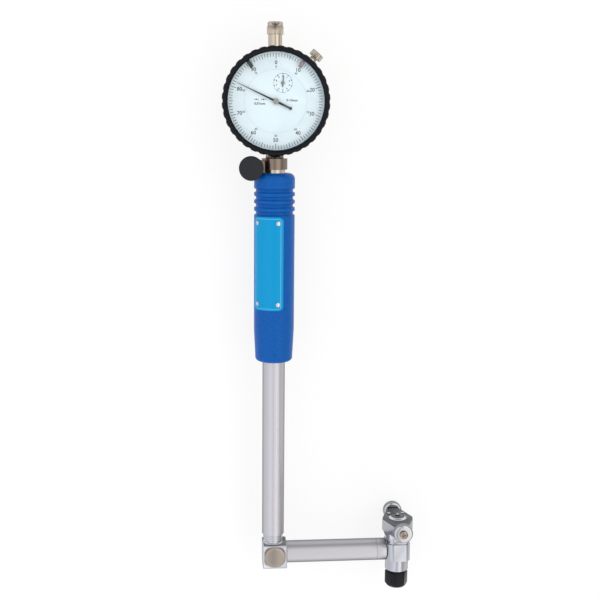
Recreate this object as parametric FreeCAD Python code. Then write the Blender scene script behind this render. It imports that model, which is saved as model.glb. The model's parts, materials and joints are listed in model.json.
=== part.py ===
"""Right-angle dial bore gauge: lever head, angled tubes, gripped handle and a 0.01 mm dial indicator.

Units are millimetres.  The gauge lies on its back as it rests on a bench: Z is up and is the dial's
normal, Y runs along the handle towards the dial, and X runs along the arm towards the head.  Pieces
are drawn about the elbow, where the handle and arm axes cross, and are then placed so that the origin
is the mouth of the anvil socket, on the measuring axis.
"""
import FreeCAD, Part
import math
import os

V = FreeCAD.Vector
X_AXIS = V(1, 0, 0)
Y_AXIS = V(0, 1, 0)
Z_AXIS = V(0, 0, 1)

# ---- clearances ----
RUNNING_GAP = 0.03
CONTACT_GAP = 0.03
SKIRT_GAP = 0.15
COVER_GAP = 0.20
SMALL_EDGE = 0.4
DIAGONAL = math.sqrt(0.5)
MOSTLY = 0.9

# ---- tubes and elbow block ----
TUBE_R = 6.35
TUBE_WALL = 1.5
BLOCK_SIDE = 14.0
BLOCK_CENTRE_X = 0.9
BLOCK_CENTRE_Y = -0.5
BLOCK_EDGE = 0.4
NECK_R = 5.6
NECK_LENGTH = 5.6
NECK_GROOVE_R = 0.22
NECK_GROOVE_COUNT = 4
SPIGOT_LENGTH = 10.0
MAIN_TUBE_LENGTH = 188.0
ARM_TUBE_LENGTH = 53.2
ARM_SLEEVE_LENGTH = 5.6
CAVITY_R = 5.8
CAVITY_HALF_DEPTH = 2.2
PLUG_R = 6.0
PLUG_FLANGE = 1.6
PLUG_PROUD = 0.15

# ---- transmission ----
TRAVEL = 1.3
ROD_R = 1.5
ROD_TIP_R = 1.0
ROD_TIP_LENGTH = 4.0
CRANK_ARM = 3.0
CRANK_THICKNESS = 2.6
CRANK_HUB_R = 1.35
CRANK_ARM_WIDTH = 1.2
CRANK_NOSE_WIDTH = 1.6
CRANK_NOSE_R = 1.1
PIN_R = 0.8
PIN_HALF = 4.6
GUIDE_LENGTH = 6.0
GUIDE_COUNT = 2
TOP_GUIDE_LENGTH = 2.6
TOP_GUIDE_DROP = 0.6

# ---- head ----
HEAD_WIDTH = 14.0
HEAD_DEPTH = 16.0
HEAD_CORNER_R = 4.0
HEAD_LOW_Y = -5.0
HEAD_SHOULDER_Y = 5.3
STUB_INSET = 0.9
STUB_TOP_Y = 11.0
BARREL_R = 6.8
BARREL_LENGTH = 7.4
COLLET_R = 4.0
COLLET_LENGTH = 8.2
SOCKET_R = 2.5
SOCKET_DEPTH = 13.0
SLOT_HALF = 1.8
SLOT_ROOM = 1.2
PIN_INSET = 0.6
NUT_FLATS = 12.2
NUT_CORNER_R = 6.75
NUT_LENGTH = 9.6
NUT_LOW_CHAMFER = 1.6
NUT_TOP_CHAMFER = 1.2
NUT_LIP = 1.5
NUT_HOLE_R = 3.2
NUT_STANDOFF = 0.5

# ---- centring bridge ----
BRIDGE_TRAVEL = 2.0
BRIDGE_TOP_Y = 18.6
BRIDGE_SKIRT_Y = 7.6
BRIDGE_FLARE_Y = 9.2
BRIDGE_FLARE_TOP_Y = 12.2
BRIDGE_FLARE_INSET = 0.4
BRIDGE_ROOF_GAP = 0.4
BRIDGE_HALF_WIDTH = 9.3
BRIDGE_HALF_LENGTH = 14.5
BRIDGE_END_HALF = 3.4
BRIDGE_CORNER_R = 2.4
SKIRT_WALL = 0.75
PLATE_THICKNESS = 0.8
PLATE_INSET = 0.25
BOSS_R = 5.2
BOSS_HEIGHT = 0.9
BOSS_CHAMFER = 1.1
CONTACT_HOLE_R = 1.45
CONTACT_R = 1.25
CONTACT_TIP_R = 0.9
CONTACT_TIP_LENGTH = 2.0
CONTACT_STEP = 0.4
CONTACT_TOP_Y = 22.2
BUSH_R = 2.9
BUSH_LENGTH = 4.6
GUIDE_PIN_Z = 5.0
GUIDE_PIN_R = 1.0
GUIDE_PIN_LENGTH = 5.9
SPRING_HOLE_R = 1.75
SPRING_WIRE = 0.34
SPRING_TURNS = 5
SPRING_FLOOR_Y = 5.2
PLATE_SCREW_X = 4.1
PLATE_SCREW_Z = -6.2
PLATE_SCREW_R = 0.9
PLATE_SCREW_SHANK_R = 0.54
PLATE_SCREW_HEAD = 0.4
PLATE_SCREW_DEPTH = 2.6

# ---- rollers ----
ROLLER_R = 5.6
ROLLER_WIDTH = 4.6
ROLLER_Y = 16.8
ROLLER_EDGE = 1.3
ROLLER_EDGE_STEPS = 5
ROLLER_STANDOFF = 0.6
JOURNAL_R = 1.8
ROLLER_SCREW_R = 2.35
ROLLER_SCREW_HEAD = 1.2
ROLLER_SCREW_CROWN_R = 1.0
ROLLER_SCREW_SHANK_R = 1.0
ROLLER_SCREW_LENGTH = 6.0

# ---- handle ----
GRIP_LENGTH = 105.3
GRIP_RISE = 20.9
GRIP_R = 11.25
GRIP_LOW_R = 10.35
GRIP_TAPER_LENGTH = 18.3
GRIP_TOP_ROUND = 5.2
GRIP_LOW_ROUND = 1.8
GROOVE_DROP = 9.5
GROOVE_PITCH = 4.1
GROOVE_COUNT = 4
GROOVE_R = 0.95
GROOVE_OFFSET = 0.15
CORE_R = 8.6
CORE_BOTTOM_RISE = 2.0
CORE_SHOULDER = 1.6
CORE_CHAMBER_R = 4.9
CORE_SOCKET_DEPTH = 7.6
HANDLE_NECK_R = 5.8
COLLAR_RISE = 1.9
LABEL_RISE = 30.2
LABEL_LENGTH = 51.6
LABEL_TURN = -24.0
LABEL_HALF_WIDTH = 8.3
LABEL_THICKNESS = 0.45
LABEL_CORNER_R = 2.2
LABEL_SCREW_R = 1.15
LABEL_SCREW_HEIGHT = 0.35
LABEL_SCREW_X = 6.0
LABEL_SCREW_EDGE = 3.4

# ---- indicator clamp ----
COLLAR_R = 7.0
COLLAR_HEIGHT = 6.0
COLLAR_ROOT = 5.6
EAR_REACH = 16.4
EAR_DROP = 1.6
EAR_HEIGHT = 6.6
EAR_HALF_DEPTH = 5.2
EAR_SLIT = 1.0
EAR_CORNER_R = 2.4
STUD_X = -13.2
STUD_RISE = 0.8
STUD_R = 1.5
KNOB_R = 6.6
KNOB_THICKNESS = 4.6
KNOB_STANDOFF = 1.5
KNOB_BOSS_R = 3.4
KNOB_SKIN = 1.4
KNOB_EDGE = 0.6

# ---- dial indicator ----
CASE_R = 26.4
CASE_WALL = 2.0
CASE_BACK_Z = -8.0
CASE_FRONT_Z = 4.6
CASE_LIP_INSET = 1.0
CASE_LIP_Z = 7.0
COVER_INSET = 0.8
COVER_THICKNESS = 1.4
COVER_EDGE = 0.5
COVER_SCREW_TURN = 45.0
COVER_SCREW_R = 1.3
COVER_SCREW_EDGE = 1.8
COVER_SCREW_COUNT = 4
STEM_R = 4.0
STEM_DEPTH = 5.6
STEM_BOSS_R = 4.9
STEM_BOSS_LENGTH = 4.0
SPINDLE_R = 2.3
SPINDLE_TOP_RISE = 1.8
SPINDLE_BOTTOM_RISE = 1.0
FOOT_R = 1.9
FOOT_LENGTH = 4.0
CAP_TUBE_R = 3.75
CAP_TUBE_RISE = 8.9
CAP_R = 4.45
CAP_KNURL_HEIGHT = 4.1
CAP_STEP = 0.3
CAP_EDGE = 0.35
CAP_HEIGHT = 6.6
CAP_WALL = 1.3
KNURL_DEPTH = 0.14
FLUTE_SHARE = 0.55
CAP_KNURL_COUNT = 36
BEZEL_REACH = 2.5
BEZEL_BACK_Z = 4.9
BEZEL_FRONT_Z = 13.2
BEZEL_RIM = 1.6
BEZEL_SLOPE = 1.55
BEZEL_SEAT_STEP = 0.55
BEZEL_STEP_Z = 7.5
BEZEL_LIP_Z = 11.7
BEZEL_EDGE = 0.8
BEZEL_FRONT_EDGE = 1.2
BEZEL_FRONT_FLAT = 0.7
BEZEL_LIP = 0.3
SCALLOP_COUNT = 36
SCALLOP_R = 2.6
SCALLOP_DEPTH = 0.45
DIAL_PLATE_THICKNESS = 0.6
INNER_DIAL_R = 17.0
INNER_DIAL_FOOT_R = 15.4
ARBOR_HOLE_R = 1.0
CRYSTAL_THICKNESS = 1.1
PLATE_BACK_Z = -5.4
PLATE_FRONT_Z = 5.4
MOVEMENT_PLATE = 1.1
BRIDGE_BAR_Z = 2.9
BRIDGE_BAR = 0.8
BAR_HALF_WIDTH = 1.8
PILLAR_TOP_R = 0.84
PILLAR_X = 13.5
PILLAR_Y = 6.5
PILLAR_R = 1.4
GEAR_Z = 4.0
GEAR_FACE = 0.7
PINION_EXTRA = 0.1
RACK_PINION_HALF = 1.6
ADDENDUM = 0.75
DEDENDUM = 1.2
TOOTH_ROOT = 0.26
TOOTH_CREST = 0.10
WHEEL_TEETH = 60
PINION_TEETH = 6
WHEEL_X = 3.7
WHEEL_Y = 9.7
ARBOR_R = 0.6
RACK_PITCH = 0.625
RACK_TEETH = 16
RACK_DEDENDUM = 1.25
RACK_GAP_MOUTH = 0.40
RACK_GAP_ROOT = 0.24
ARBOR_END_GAP = 0.1
RACK_PINION_TEETH = 16
POINTER_Z = 9.1
POINTER_THICKNESS = 0.3
POINTER_SHORTFALL = 2.85
POINTER_TAIL = 8.6
POINTER_TURN = 155.0
POINTER_HUB_R = 1.6
POINTER_HUB_RISE = 0.6
POINTER_ROOT_HALF = 0.55
POINTER_TIP_HALF = 0.12
POINTER_TAIL_R = 0.84
SMALL_POINTER_Z = 8.5
SMALL_POINTER_LENGTH = 3.9
SMALL_POINTER_TAIL = 2.2
SMALL_HUB_R = 0.9
SMALL_HUB_HEIGHT = 0.3
SMALL_POINTER_THICKNESS = 0.2
SMALL_TAIL_HALF = 0.22
SMALL_POINTER_TURN = -4.0
SPRING_COILS = 5
SPRING_STEPS = 16
SPRING_GROWTH = 0.55
SPRING_RIBBON = 0.09
SPRING_HEIGHT = 0.35
SPRING_DROP = 0.65
MARKER_LOW_TURN = 126.0
MARKER_HIGH_TURN = 55.0
MARKER_WIDTH = 2.0
MARKER_LENGTH = 4.6
MARKER_Z = 9.75
MARKER_THICKNESS = 0.6
LOCK_TURN = 48.0
LOCK_Z = 0.9
LOCK_BOSS_R = 2.6
LOCK_BOSS_LENGTH = 2.9
LOCK_BOSS_ROOT = 0.6
LOCK_SCREW_R = 1.4
LOCK_COLLAR_R = 2.3
LOCK_NECK_R = 1.725
LOCK_HEAD_R = 3.6
LOCK_HEAD_STANDOFF = 5.2
LOCK_HEAD_LENGTH = 3.1
LOCK_KNURL_COUNT = 24

# ---- values that follow from the sizes above ----
TUBE_INNER_R = TUBE_R - TUBE_WALL
BLOCK_LEFT_X = BLOCK_CENTRE_X - BLOCK_SIDE / 2
BLOCK_RIGHT_X = BLOCK_CENTRE_X + BLOCK_SIDE / 2
BLOCK_TOP_Y = BLOCK_CENTRE_Y + BLOCK_SIDE / 2
MAIN_TUBE_Y = BLOCK_TOP_Y + NECK_LENGTH
MAIN_TUBE_TOP_Y = MAIN_TUBE_Y + MAIN_TUBE_LENGTH
GRIP_TOP_Y = MAIN_TUBE_TOP_Y + GRIP_RISE
GRIP_BOTTOM_Y = GRIP_TOP_Y - GRIP_LENGTH
GRIP_TAPER_START_Y = GRIP_BOTTOM_Y + GRIP_TAPER_LENGTH
GROOVE_TOP_Y = GRIP_TOP_Y - GROOVE_DROP
CORE_BOTTOM_Y = GRIP_BOTTOM_Y + CORE_BOTTOM_RISE
CORE_SOCKET_Y = GRIP_TOP_Y - CORE_SOCKET_DEPTH
COLLAR_Y = GRIP_TOP_Y + COLLAR_RISE
COLLAR_TOP_Y = COLLAR_Y + COLLAR_HEIGHT
LABEL_BOTTOM_Y = GRIP_BOTTOM_Y + LABEL_RISE
CASE_INNER_R = CASE_R - CASE_WALL
CASE_LIP_R = CASE_R - CASE_LIP_INSET
COVER_R = CASE_R - COVER_INSET
COVER_SCREW_CIRCLE_R = CASE_INNER_R - COVER_SCREW_EDGE
DIAL_Y = COLLAR_TOP_Y + STEM_BOSS_LENGTH + CASE_R
BEZEL_R = CASE_R + BEZEL_REACH
BEZEL_SLOPE_R = BEZEL_R - BEZEL_RIM
BEZEL_LIP_R = BEZEL_SLOPE_R - BEZEL_SLOPE
BEZEL_SEAT_R = BEZEL_LIP_R + BEZEL_SEAT_STEP
POINTER_LENGTH = BEZEL_LIP_R - POINTER_SHORTFALL
LOCK_HEAD_START = CASE_R + LOCK_HEAD_STANDOFF
STEM_BOTTOM_Y = GRIP_TOP_Y - STEM_DEPTH
SPINDLE_BOTTOM_Y = STEM_BOTTOM_Y + SPINDLE_BOTTOM_RISE
CAP_TUBE_TOP_Y = DIAL_Y + CASE_R + CAP_TUBE_RISE
SPINDLE_TOP_Y = CAP_TUBE_TOP_Y + SPINDLE_TOP_RISE
SLEEVE_X = BLOCK_RIGHT_X + ARM_TUBE_LENGTH
HEAD_LEFT_X = SLEEVE_X + ARM_SLEEVE_LENGTH
MEASURING_X = HEAD_LEFT_X + HEAD_WIDTH / 2
REST_TURN = math.degrees(TRAVEL / (2 * CRANK_ARM))
BALL_RISE = CRANK_ARM * math.sin(math.radians(REST_TURN))
BALL_REACH = CRANK_NOSE_R + CONTACT_GAP
ARM_ROD_LEFT_X = CRANK_ARM + BALL_RISE + BALL_REACH
ARM_ROD_RIGHT_X = MEASURING_X - CRANK_ARM + BALL_RISE - BALL_REACH
MAIN_ROD_BOTTOM_Y = CRANK_ARM - BALL_RISE + BALL_REACH
CONTACT_BOTTOM_Y = CRANK_ARM + BALL_RISE + BALL_REACH
BARREL_BOTTOM_Y = HEAD_LOW_Y - BARREL_LENGTH
SOCKET_MOUTH_Y = BARREL_BOTTOM_Y - COLLET_LENGTH
SLEEVE_SPIGOT = 1.6
MAIN_ROD_TOP_Y = SPINDLE_BOTTOM_Y - FOOT_LENGTH
TOP_GUIDE_Y = MAIN_ROD_TOP_Y - ROD_TIP_LENGTH - TOP_GUIDE_LENGTH - TOP_GUIDE_DROP
STUD_Y = COLLAR_Y + STUD_RISE
EAR_LOW_Y = COLLAR_Y - EAR_DROP
BRIDGE_ROOF_Y = STUB_TOP_Y + BRIDGE_TRAVEL + BRIDGE_ROOF_GAP
ROLLER_Z = BRIDGE_HALF_LENGTH + ROLLER_STANDOFF
JOURNAL_END_Z = ROLLER_Z + ROLLER_WIDTH + ROLLER_STANDOFF / 2
CENTRE_DISTANCE = math.hypot(WHEEL_X, WHEEL_Y)
PINION_PITCH_R = CENTRE_DISTANCE * PINION_TEETH / (PINION_TEETH + WHEEL_TEETH)
WHEEL_PITCH_R = CENTRE_DISTANCE - PINION_PITCH_R
RACK_PINION_R = RACK_PITCH * RACK_PINION_TEETH / (2 * math.pi)
RACK_LINE_X = -WHEEL_X + RACK_PINION_R
HEAD_ORIGIN = V(MEASURING_X, 0, 0)
DIAL_CENTRE = V(0, DIAL_Y, 0)
ORIGIN_SHIFT = V(-MEASURING_X, -SOCKET_MOUTH_Y, 0)


# ---- small shape helpers ----
def rod(radius, length, start, axis):
    """Solid cylinder from a start point along an axis."""
    return Part.makeCylinder(radius, length, start, axis)


def pipe(outer, inner, length, start, axis):
    """Hollow cylinder from a start point along an axis."""
    return rod(outer, length, start, axis).cut(rod(inner, length, start, axis))


def turned(outline, centre=V(0, 0, 0)):
    """Solid turned about Y from (radius, y) corner points."""
    points = [V(r, y, 0) for r, y in outline]
    face = Part.Face(Part.makePolygon(points + points[:1]))
    solid = face.revolve(V(0, 0, 0), Y_AXIS, 360)
    solid.translate(centre)
    return solid


def turned_z(outline, centre=V(0, 0, 0)):
    """Solid turned about Z from (radius, z) corner points."""
    points = [V(r, 0, z) for r, z in outline]
    face = Part.Face(Part.makePolygon(points + points[:1]))
    solid = face.revolve(V(0, 0, 0), Z_AXIS, 360)
    solid.translate(centre)
    return solid


def box(x_range, y_range, z_range):
    """Box between two corners given as ranges."""
    size = [high - low for low, high in (x_range, y_range, z_range)]
    return Part.makeBox(*size, V(x_range[0], y_range[0], z_range[0]))


def rounded_post(width, depth, corner, low_y, high_y):
    """Upright block of rounded rectangular section, centred on the Y axis."""
    block = box((-width / 2, width / 2), (low_y, high_y), (-depth / 2, depth / 2))
    uprights = [edge for edge in block.Edges if abs(edge.tangentAt(edge.FirstParameter).y) > MOSTLY]
    return block.makeFillet(corner, uprights)


def prism(points, direction):
    """Extrude a closed polygon of vectors."""
    return Part.Face(Part.makePolygon(points + points[:1])).extrude(direction)


def toothed_outline(teeth, pitch_r, turn):
    """Corner points of a spur wheel, with thin flanks so that a pair keeps backlash."""
    module = 2 * pitch_r / teeth
    step = 2 * math.pi / teeth
    corners = ((-TOOTH_ROOT, -DEDENDUM), (-TOOTH_CREST, ADDENDUM),
               (TOOTH_CREST, ADDENDUM), (TOOTH_ROOT, -DEDENDUM))
    points = []
    for tooth in range(teeth):
        for share, height in corners:
            angle = math.radians(turn) + (tooth + share) * step
            radius = pitch_r + height * module
            points.append(V(radius * math.cos(angle), radius * math.sin(angle), 0))
    return points


def spur_wheel(teeth, pitch_r, turn, low_z, height, bore_r=0.0):
    """Spur wheel about Z with its first tooth at the given turn."""
    wheel = prism(toothed_outline(teeth, pitch_r, turn), V(0, 0, height))
    wheel.translate(V(0, 0, low_z))
    if bore_r:
        wheel = wheel.cut(rod(bore_r, height, V(0, 0, low_z), Z_AXIS))
    return wheel


def knurled(radius, length, start, axis, count):
    """Cylinder with straight flutes along it."""
    body = rod(radius, length, V(0, 0, 0), Z_AXIS)
    flute_r = math.pi * radius / count * FLUTE_SHARE
    for index in range(count):
        angle = 2 * math.pi * index / count
        reach = radius - KNURL_DEPTH + flute_r
        centre = V(reach * math.cos(angle), reach * math.sin(angle), 0)
        body = body.cut(rod(flute_r, length, centre, Z_AXIS))
    body.Placement = FreeCAD.Placement(start, FreeCAD.Rotation(Z_AXIS, axis))
    return body


def coil(mean_r, wire, turns, low_y, length, centre):
    """Square-wire compression spring along Y."""
    half = wire / 2
    usable = length - wire
    helix = Part.makeHelix(usable / turns, usable, mean_r)
    corners = [(-half, -half), (half, -half), (half, half), (-half, half), (-half, -half)]
    section = Part.makePolygon([V(mean_r + x, 0, z) for x, z in corners])
    spring = Part.Wire(helix.Edges).makePipeShell([section], True, True)
    spring.rotate(V(0, 0, 0), X_AXIS, -90)
    spring.translate(centre + V(0, low_y + half, 0))
    return spring


# ---- elbow ----
def corner_block():
    """Elbow cube with a turned neck for the main tube, an arm spigot and the lever cavity."""
    half = BLOCK_SIDE / 2
    cube = box((BLOCK_LEFT_X, BLOCK_RIGHT_X), (BLOCK_TOP_Y - BLOCK_SIDE, BLOCK_TOP_Y), (-half, half))
    cube = cube.makeChamfer(BLOCK_EDGE, cube.Edges)
    cube = cube.fuse(rod(NECK_R, NECK_LENGTH + BLOCK_EDGE, V(0, BLOCK_TOP_Y - BLOCK_EDGE, 0), Y_AXIS))
    groove_pitch = NECK_LENGTH / (NECK_GROOVE_COUNT + 1)
    for index in range(NECK_GROOVE_COUNT):
        y = BLOCK_TOP_Y + groove_pitch * (index + 1)
        cube = cube.cut(Part.makeTorus(NECK_R, NECK_GROOVE_R, V(0, y, 0), Y_AXIS))
    cube = cube.fuse(rod(TUBE_INNER_R, SPIGOT_LENGTH, V(0, MAIN_TUBE_Y, 0), Y_AXIS))
    cube = cube.fuse(rod(TUBE_INNER_R, SPIGOT_LENGTH, V(BLOCK_RIGHT_X, 0, 0), X_AXIS))
    centre = V(BLOCK_CENTRE_X, BLOCK_CENTRE_Y, 0)
    seat_z = half - PLUG_FLANGE
    cavity = rod(CAVITY_R, seat_z + CAVITY_HALF_DEPTH, centre + V(0, 0, -CAVITY_HALF_DEPTH), Z_AXIS)
    cavity = cavity.fuse(rod(PLUG_R, PLUG_FLANGE, centre + V(0, 0, seat_z), Z_AXIS))
    bore_r = ROD_R + COVER_GAP
    cavity = cavity.fuse(rod(bore_r, MAIN_TUBE_Y + SPIGOT_LENGTH, V(0, 0, 0), Y_AXIS))
    cavity = cavity.fuse(rod(bore_r, BLOCK_RIGHT_X + SPIGOT_LENGTH, V(0, 0, 0), X_AXIS))
    pin_hole = rod(PIN_R, PIN_HALF, V(CRANK_ARM, CRANK_ARM, -PIN_HALF), Z_AXIS)
    return cube.cut(cavity.fuse(pin_hole))


def corner_plug():
    """Round cover pressed into the cube's front, which also carries the front end of the lever pin."""
    half = BLOCK_SIDE / 2
    centre = V(BLOCK_CENTRE_X, BLOCK_CENTRE_Y, 0)
    flange = rod(PLUG_R, PLUG_FLANGE + PLUG_PROUD, centre + V(0, 0, half - PLUG_FLANGE), Z_AXIS)
    flange = flange.makeChamfer(PLUG_PROUD - RUNNING_GAP, [flange.Edges[0]])
    inner_r = CAVITY_R - COVER_GAP
    length = half - PLUG_FLANGE - CAVITY_HALF_DEPTH
    inner = rod(inner_r, length, centre + V(0, 0, CAVITY_HALF_DEPTH), Z_AXIS)
    hole = rod(PIN_R, PIN_HALF - CAVITY_HALF_DEPTH, V(CRANK_ARM, CRANK_ARM, CAVITY_HALF_DEPTH), Z_AXIS)
    arm_way = rod(ROD_R + COVER_GAP, BLOCK_SIDE, centre, X_AXIS)
    return flange.fuse(inner).cut(hole).cut(arm_way)


def crank(pivot, nose_turns):
    """Bell crank about Z: a hub and two arms that end in round noses, shown at its rest turn."""
    half = CRANK_THICKNESS / 2
    nose_half = CRANK_NOSE_WIDTH / 2
    body = rod(CRANK_HUB_R, CRANK_THICKNESS, V(0, 0, -half), Z_AXIS)
    for turn in nose_turns:
        angle = math.radians(turn + REST_TURN)
        nose = V(CRANK_ARM * math.cos(angle), CRANK_ARM * math.sin(angle), -nose_half)
        arm = box((0, CRANK_ARM), (-CRANK_ARM_WIDTH / 2, CRANK_ARM_WIDTH / 2), (-nose_half, nose_half))
        arm.rotate(V(0, 0, 0), Z_AXIS, turn + REST_TURN)
        body = body.fuse(arm)
        body = body.fuse(rod(CRANK_NOSE_R, CRANK_NOSE_WIDTH, nose, Z_AXIS))
    body = body.cut(rod(PIN_R + RUNNING_GAP, CRANK_THICKNESS, V(0, 0, -half), Z_AXIS))
    body.translate(pivot)
    return body.removeSplitter()


def corner_crank():
    """Lever in the elbow that turns the arm rod's push into the main rod's lift."""
    return crank(V(CRANK_ARM, CRANK_ARM, 0), (180.0, 270.0))


def corner_crank_pin():
    """Pivot pin of the elbow lever."""
    return rod(PIN_R, 2 * PIN_HALF, V(CRANK_ARM, CRANK_ARM, -PIN_HALF), Z_AXIS)


# ---- tubes and rods ----
def main_tube():
    """Aluminium tube from the elbow up into the handle."""
    return pipe(TUBE_R, TUBE_INNER_R, MAIN_TUBE_LENGTH, V(0, MAIN_TUBE_Y, 0), Y_AXIS)


def arm_tube():
    """Aluminium tube from the elbow to the head's sleeve."""
    return pipe(TUBE_R, TUBE_INNER_R, ARM_TUBE_LENGTH, V(BLOCK_RIGHT_X, 0, 0), X_AXIS)


def arm_sleeve():
    """Turned sleeve that joins the arm tube to the head and guides the arm rod."""
    sleeve = rod(TUBE_R, ARM_SLEEVE_LENGTH, V(SLEEVE_X, 0, 0), X_AXIS)
    sleeve = sleeve.fuse(rod(TUBE_INNER_R, SPIGOT_LENGTH, V(SLEEVE_X - SPIGOT_LENGTH, 0, 0), X_AXIS))
    sleeve = sleeve.fuse(rod(TUBE_INNER_R, SLEEVE_SPIGOT, V(HEAD_LEFT_X, 0, 0), X_AXIS))
    length = SPIGOT_LENGTH + ARM_SLEEVE_LENGTH + SLEEVE_SPIGOT
    return sleeve.cut(rod(ROD_R + RUNNING_GAP, length, V(SLEEVE_X - SPIGOT_LENGTH, 0, 0), X_AXIS))


def push_rod(start, length, axis):
    """Ground push rod with a slimmer tip at each end."""
    body = rod(ROD_R, length - 2 * ROD_TIP_LENGTH, start + axis * ROD_TIP_LENGTH, axis)
    body = body.fuse(rod(ROD_TIP_R, ROD_TIP_LENGTH, start, axis))
    return body.fuse(rod(ROD_TIP_R, ROD_TIP_LENGTH, start + axis * (length - ROD_TIP_LENGTH), axis))


def main_push_rod():
    """Long rod from the elbow lever to the indicator's foot."""
    return push_rod(V(0, MAIN_ROD_BOTTOM_Y, 0), MAIN_ROD_TOP_Y - MAIN_ROD_BOTTOM_Y, Y_AXIS)


def arm_push_rod():
    """Short rod between the head lever and the elbow lever."""
    return push_rod(V(ARM_ROD_LEFT_X, 0, 0), ARM_ROD_RIGHT_X - ARM_ROD_LEFT_X, X_AXIS)


def main_rod_guides():
    """Guide bushes spaced along the inside of the main tube."""
    pitch = MAIN_TUBE_LENGTH / (GUIDE_COUNT + 1)
    guides = []
    for index in range(GUIDE_COUNT):
        start = V(0, MAIN_TUBE_Y + pitch * (index + 1), 0)
        guides.append(pipe(TUBE_INNER_R, ROD_R + RUNNING_GAP, GUIDE_LENGTH, start, Y_AXIS))
    return Part.makeCompound(guides)


def arm_rod_guide():
    """Guide bush in the middle of the arm tube."""
    start = V(BLOCK_RIGHT_X + ARM_TUBE_LENGTH / 2, 0, 0)
    return pipe(TUBE_INNER_R, ROD_R + RUNNING_GAP, GUIDE_LENGTH, start, X_AXIS)


# ---- head ----
def head_body():
    """Head with the lever slot, the stub that the bridge slides on and the collet for anvils."""
    body = rounded_post(HEAD_WIDTH, HEAD_DEPTH, HEAD_CORNER_R, HEAD_LOW_Y, HEAD_SHOULDER_Y)
    stub_width = HEAD_WIDTH - 2 * STUB_INSET
    stub_depth = HEAD_DEPTH - 2 * STUB_INSET
    stub = rounded_post(stub_width, stub_depth, HEAD_CORNER_R - STUB_INSET, HEAD_SHOULDER_Y, STUB_TOP_Y)
    body = body.fuse(stub)
    body = body.fuse(turned([(0, BARREL_BOTTOM_Y), (BARREL_R - SMALL_EDGE, BARREL_BOTTOM_Y),
                             (BARREL_R, BARREL_BOTTOM_Y + SMALL_EDGE), (BARREL_R, HEAD_LOW_Y), (0, HEAD_LOW_Y)]))
    body = body.fuse(rod(COLLET_R, COLLET_LENGTH, V(0, SOCKET_MOUTH_Y, 0), Y_AXIS))
    cuts = rod(SOCKET_R, SOCKET_DEPTH, V(0, SOCKET_MOUTH_Y, 0), Y_AXIS)
    slot_x = (-CRANK_ARM - CRANK_NOSE_R - SLOT_ROOM, CRANK_NOSE_R + SLOT_ROOM)
    slot_y = (-CRANK_NOSE_R - SLOT_ROOM - COVER_GAP, CONTACT_BOTTOM_Y + SLOT_ROOM)
    cuts = cuts.fuse(box(slot_x, slot_y, (-SLOT_HALF, SLOT_HALF)))
    arm_bore_x = -HEAD_WIDTH / 2
    cuts = cuts.fuse(rod(TUBE_INNER_R, SLEEVE_SPIGOT, V(arm_bore_x, 0, 0), X_AXIS))
    cuts = cuts.fuse(rod(ROD_R + COVER_GAP, HEAD_WIDTH / 2, V(arm_bore_x, 0, 0), X_AXIS))
    cuts = cuts.fuse(rod(CONTACT_R + COVER_GAP, STUB_TOP_Y - CRANK_ARM, V(0, CRANK_ARM, 0), Y_AXIS))
    cuts = cuts.fuse(rod(BUSH_R, BUSH_LENGTH, V(0, STUB_TOP_Y - BUSH_LENGTH, 0), Y_AXIS))
    pin_back_z = -HEAD_DEPTH / 2
    cuts = cuts.fuse(rod(PIN_R, PIN_HALF - pin_back_z, V(-CRANK_ARM, CRANK_ARM, pin_back_z), Z_AXIS))
    for side in (-1, 1):
        z = side * GUIDE_PIN_Z
        cuts = cuts.fuse(rod(SPRING_HOLE_R, STUB_TOP_Y - SPRING_FLOOR_Y, V(0, SPRING_FLOOR_Y, z), Y_AXIS))
    body = body.cut(cuts)
    body.translate(HEAD_ORIGIN)
    return body


def head_crank():
    """Lever in the head that turns the contact's push into the arm rod's push."""
    return crank(HEAD_ORIGIN + V(-CRANK_ARM, CRANK_ARM, 0), (0.0, 270.0))


def head_crank_pin():
    """Pivot pin of the head lever, pressed in from the back."""
    back_z = -HEAD_DEPTH / 2 + PIN_INSET
    return rod(PIN_R, PIN_HALF - back_z, HEAD_ORIGIN + V(-CRANK_ARM, CRANK_ARM, back_z), Z_AXIS)


def contact_bush():
    """Bronze bush in the stub that guides the measuring contact."""
    start = HEAD_ORIGIN + V(0, STUB_TOP_Y - BUSH_LENGTH, 0)
    return pipe(BUSH_R, CONTACT_R + RUNNING_GAP, BUSH_LENGTH, start, Y_AXIS)


def measuring_contact():
    """Sliding contact pin, stepped down to the carbide tip."""
    tip_y = CONTACT_TOP_Y - CONTACT_TIP_LENGTH
    outline = [(0, CONTACT_BOTTOM_Y), (ROD_TIP_R, CONTACT_BOTTOM_Y), (CONTACT_R, CONTACT_BOTTOM_Y + SMALL_EDGE),
               (CONTACT_R, tip_y - CONTACT_STEP), (CONTACT_TIP_R, tip_y), (0, tip_y)]
    return turned(outline, HEAD_ORIGIN)


def contact_tip():
    """Carbide tip with a spherical end."""
    tip_y = CONTACT_TOP_Y - CONTACT_TIP_LENGTH
    tip = rod(CONTACT_TIP_R, CONTACT_TIP_LENGTH - CONTACT_TIP_R, V(0, tip_y, 0), Y_AXIS)
    tip = tip.fuse(Part.makeSphere(CONTACT_TIP_R, V(0, CONTACT_TOP_Y - CONTACT_TIP_R, 0)))
    tip.translate(HEAD_ORIGIN)
    return tip.removeSplitter()


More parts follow.
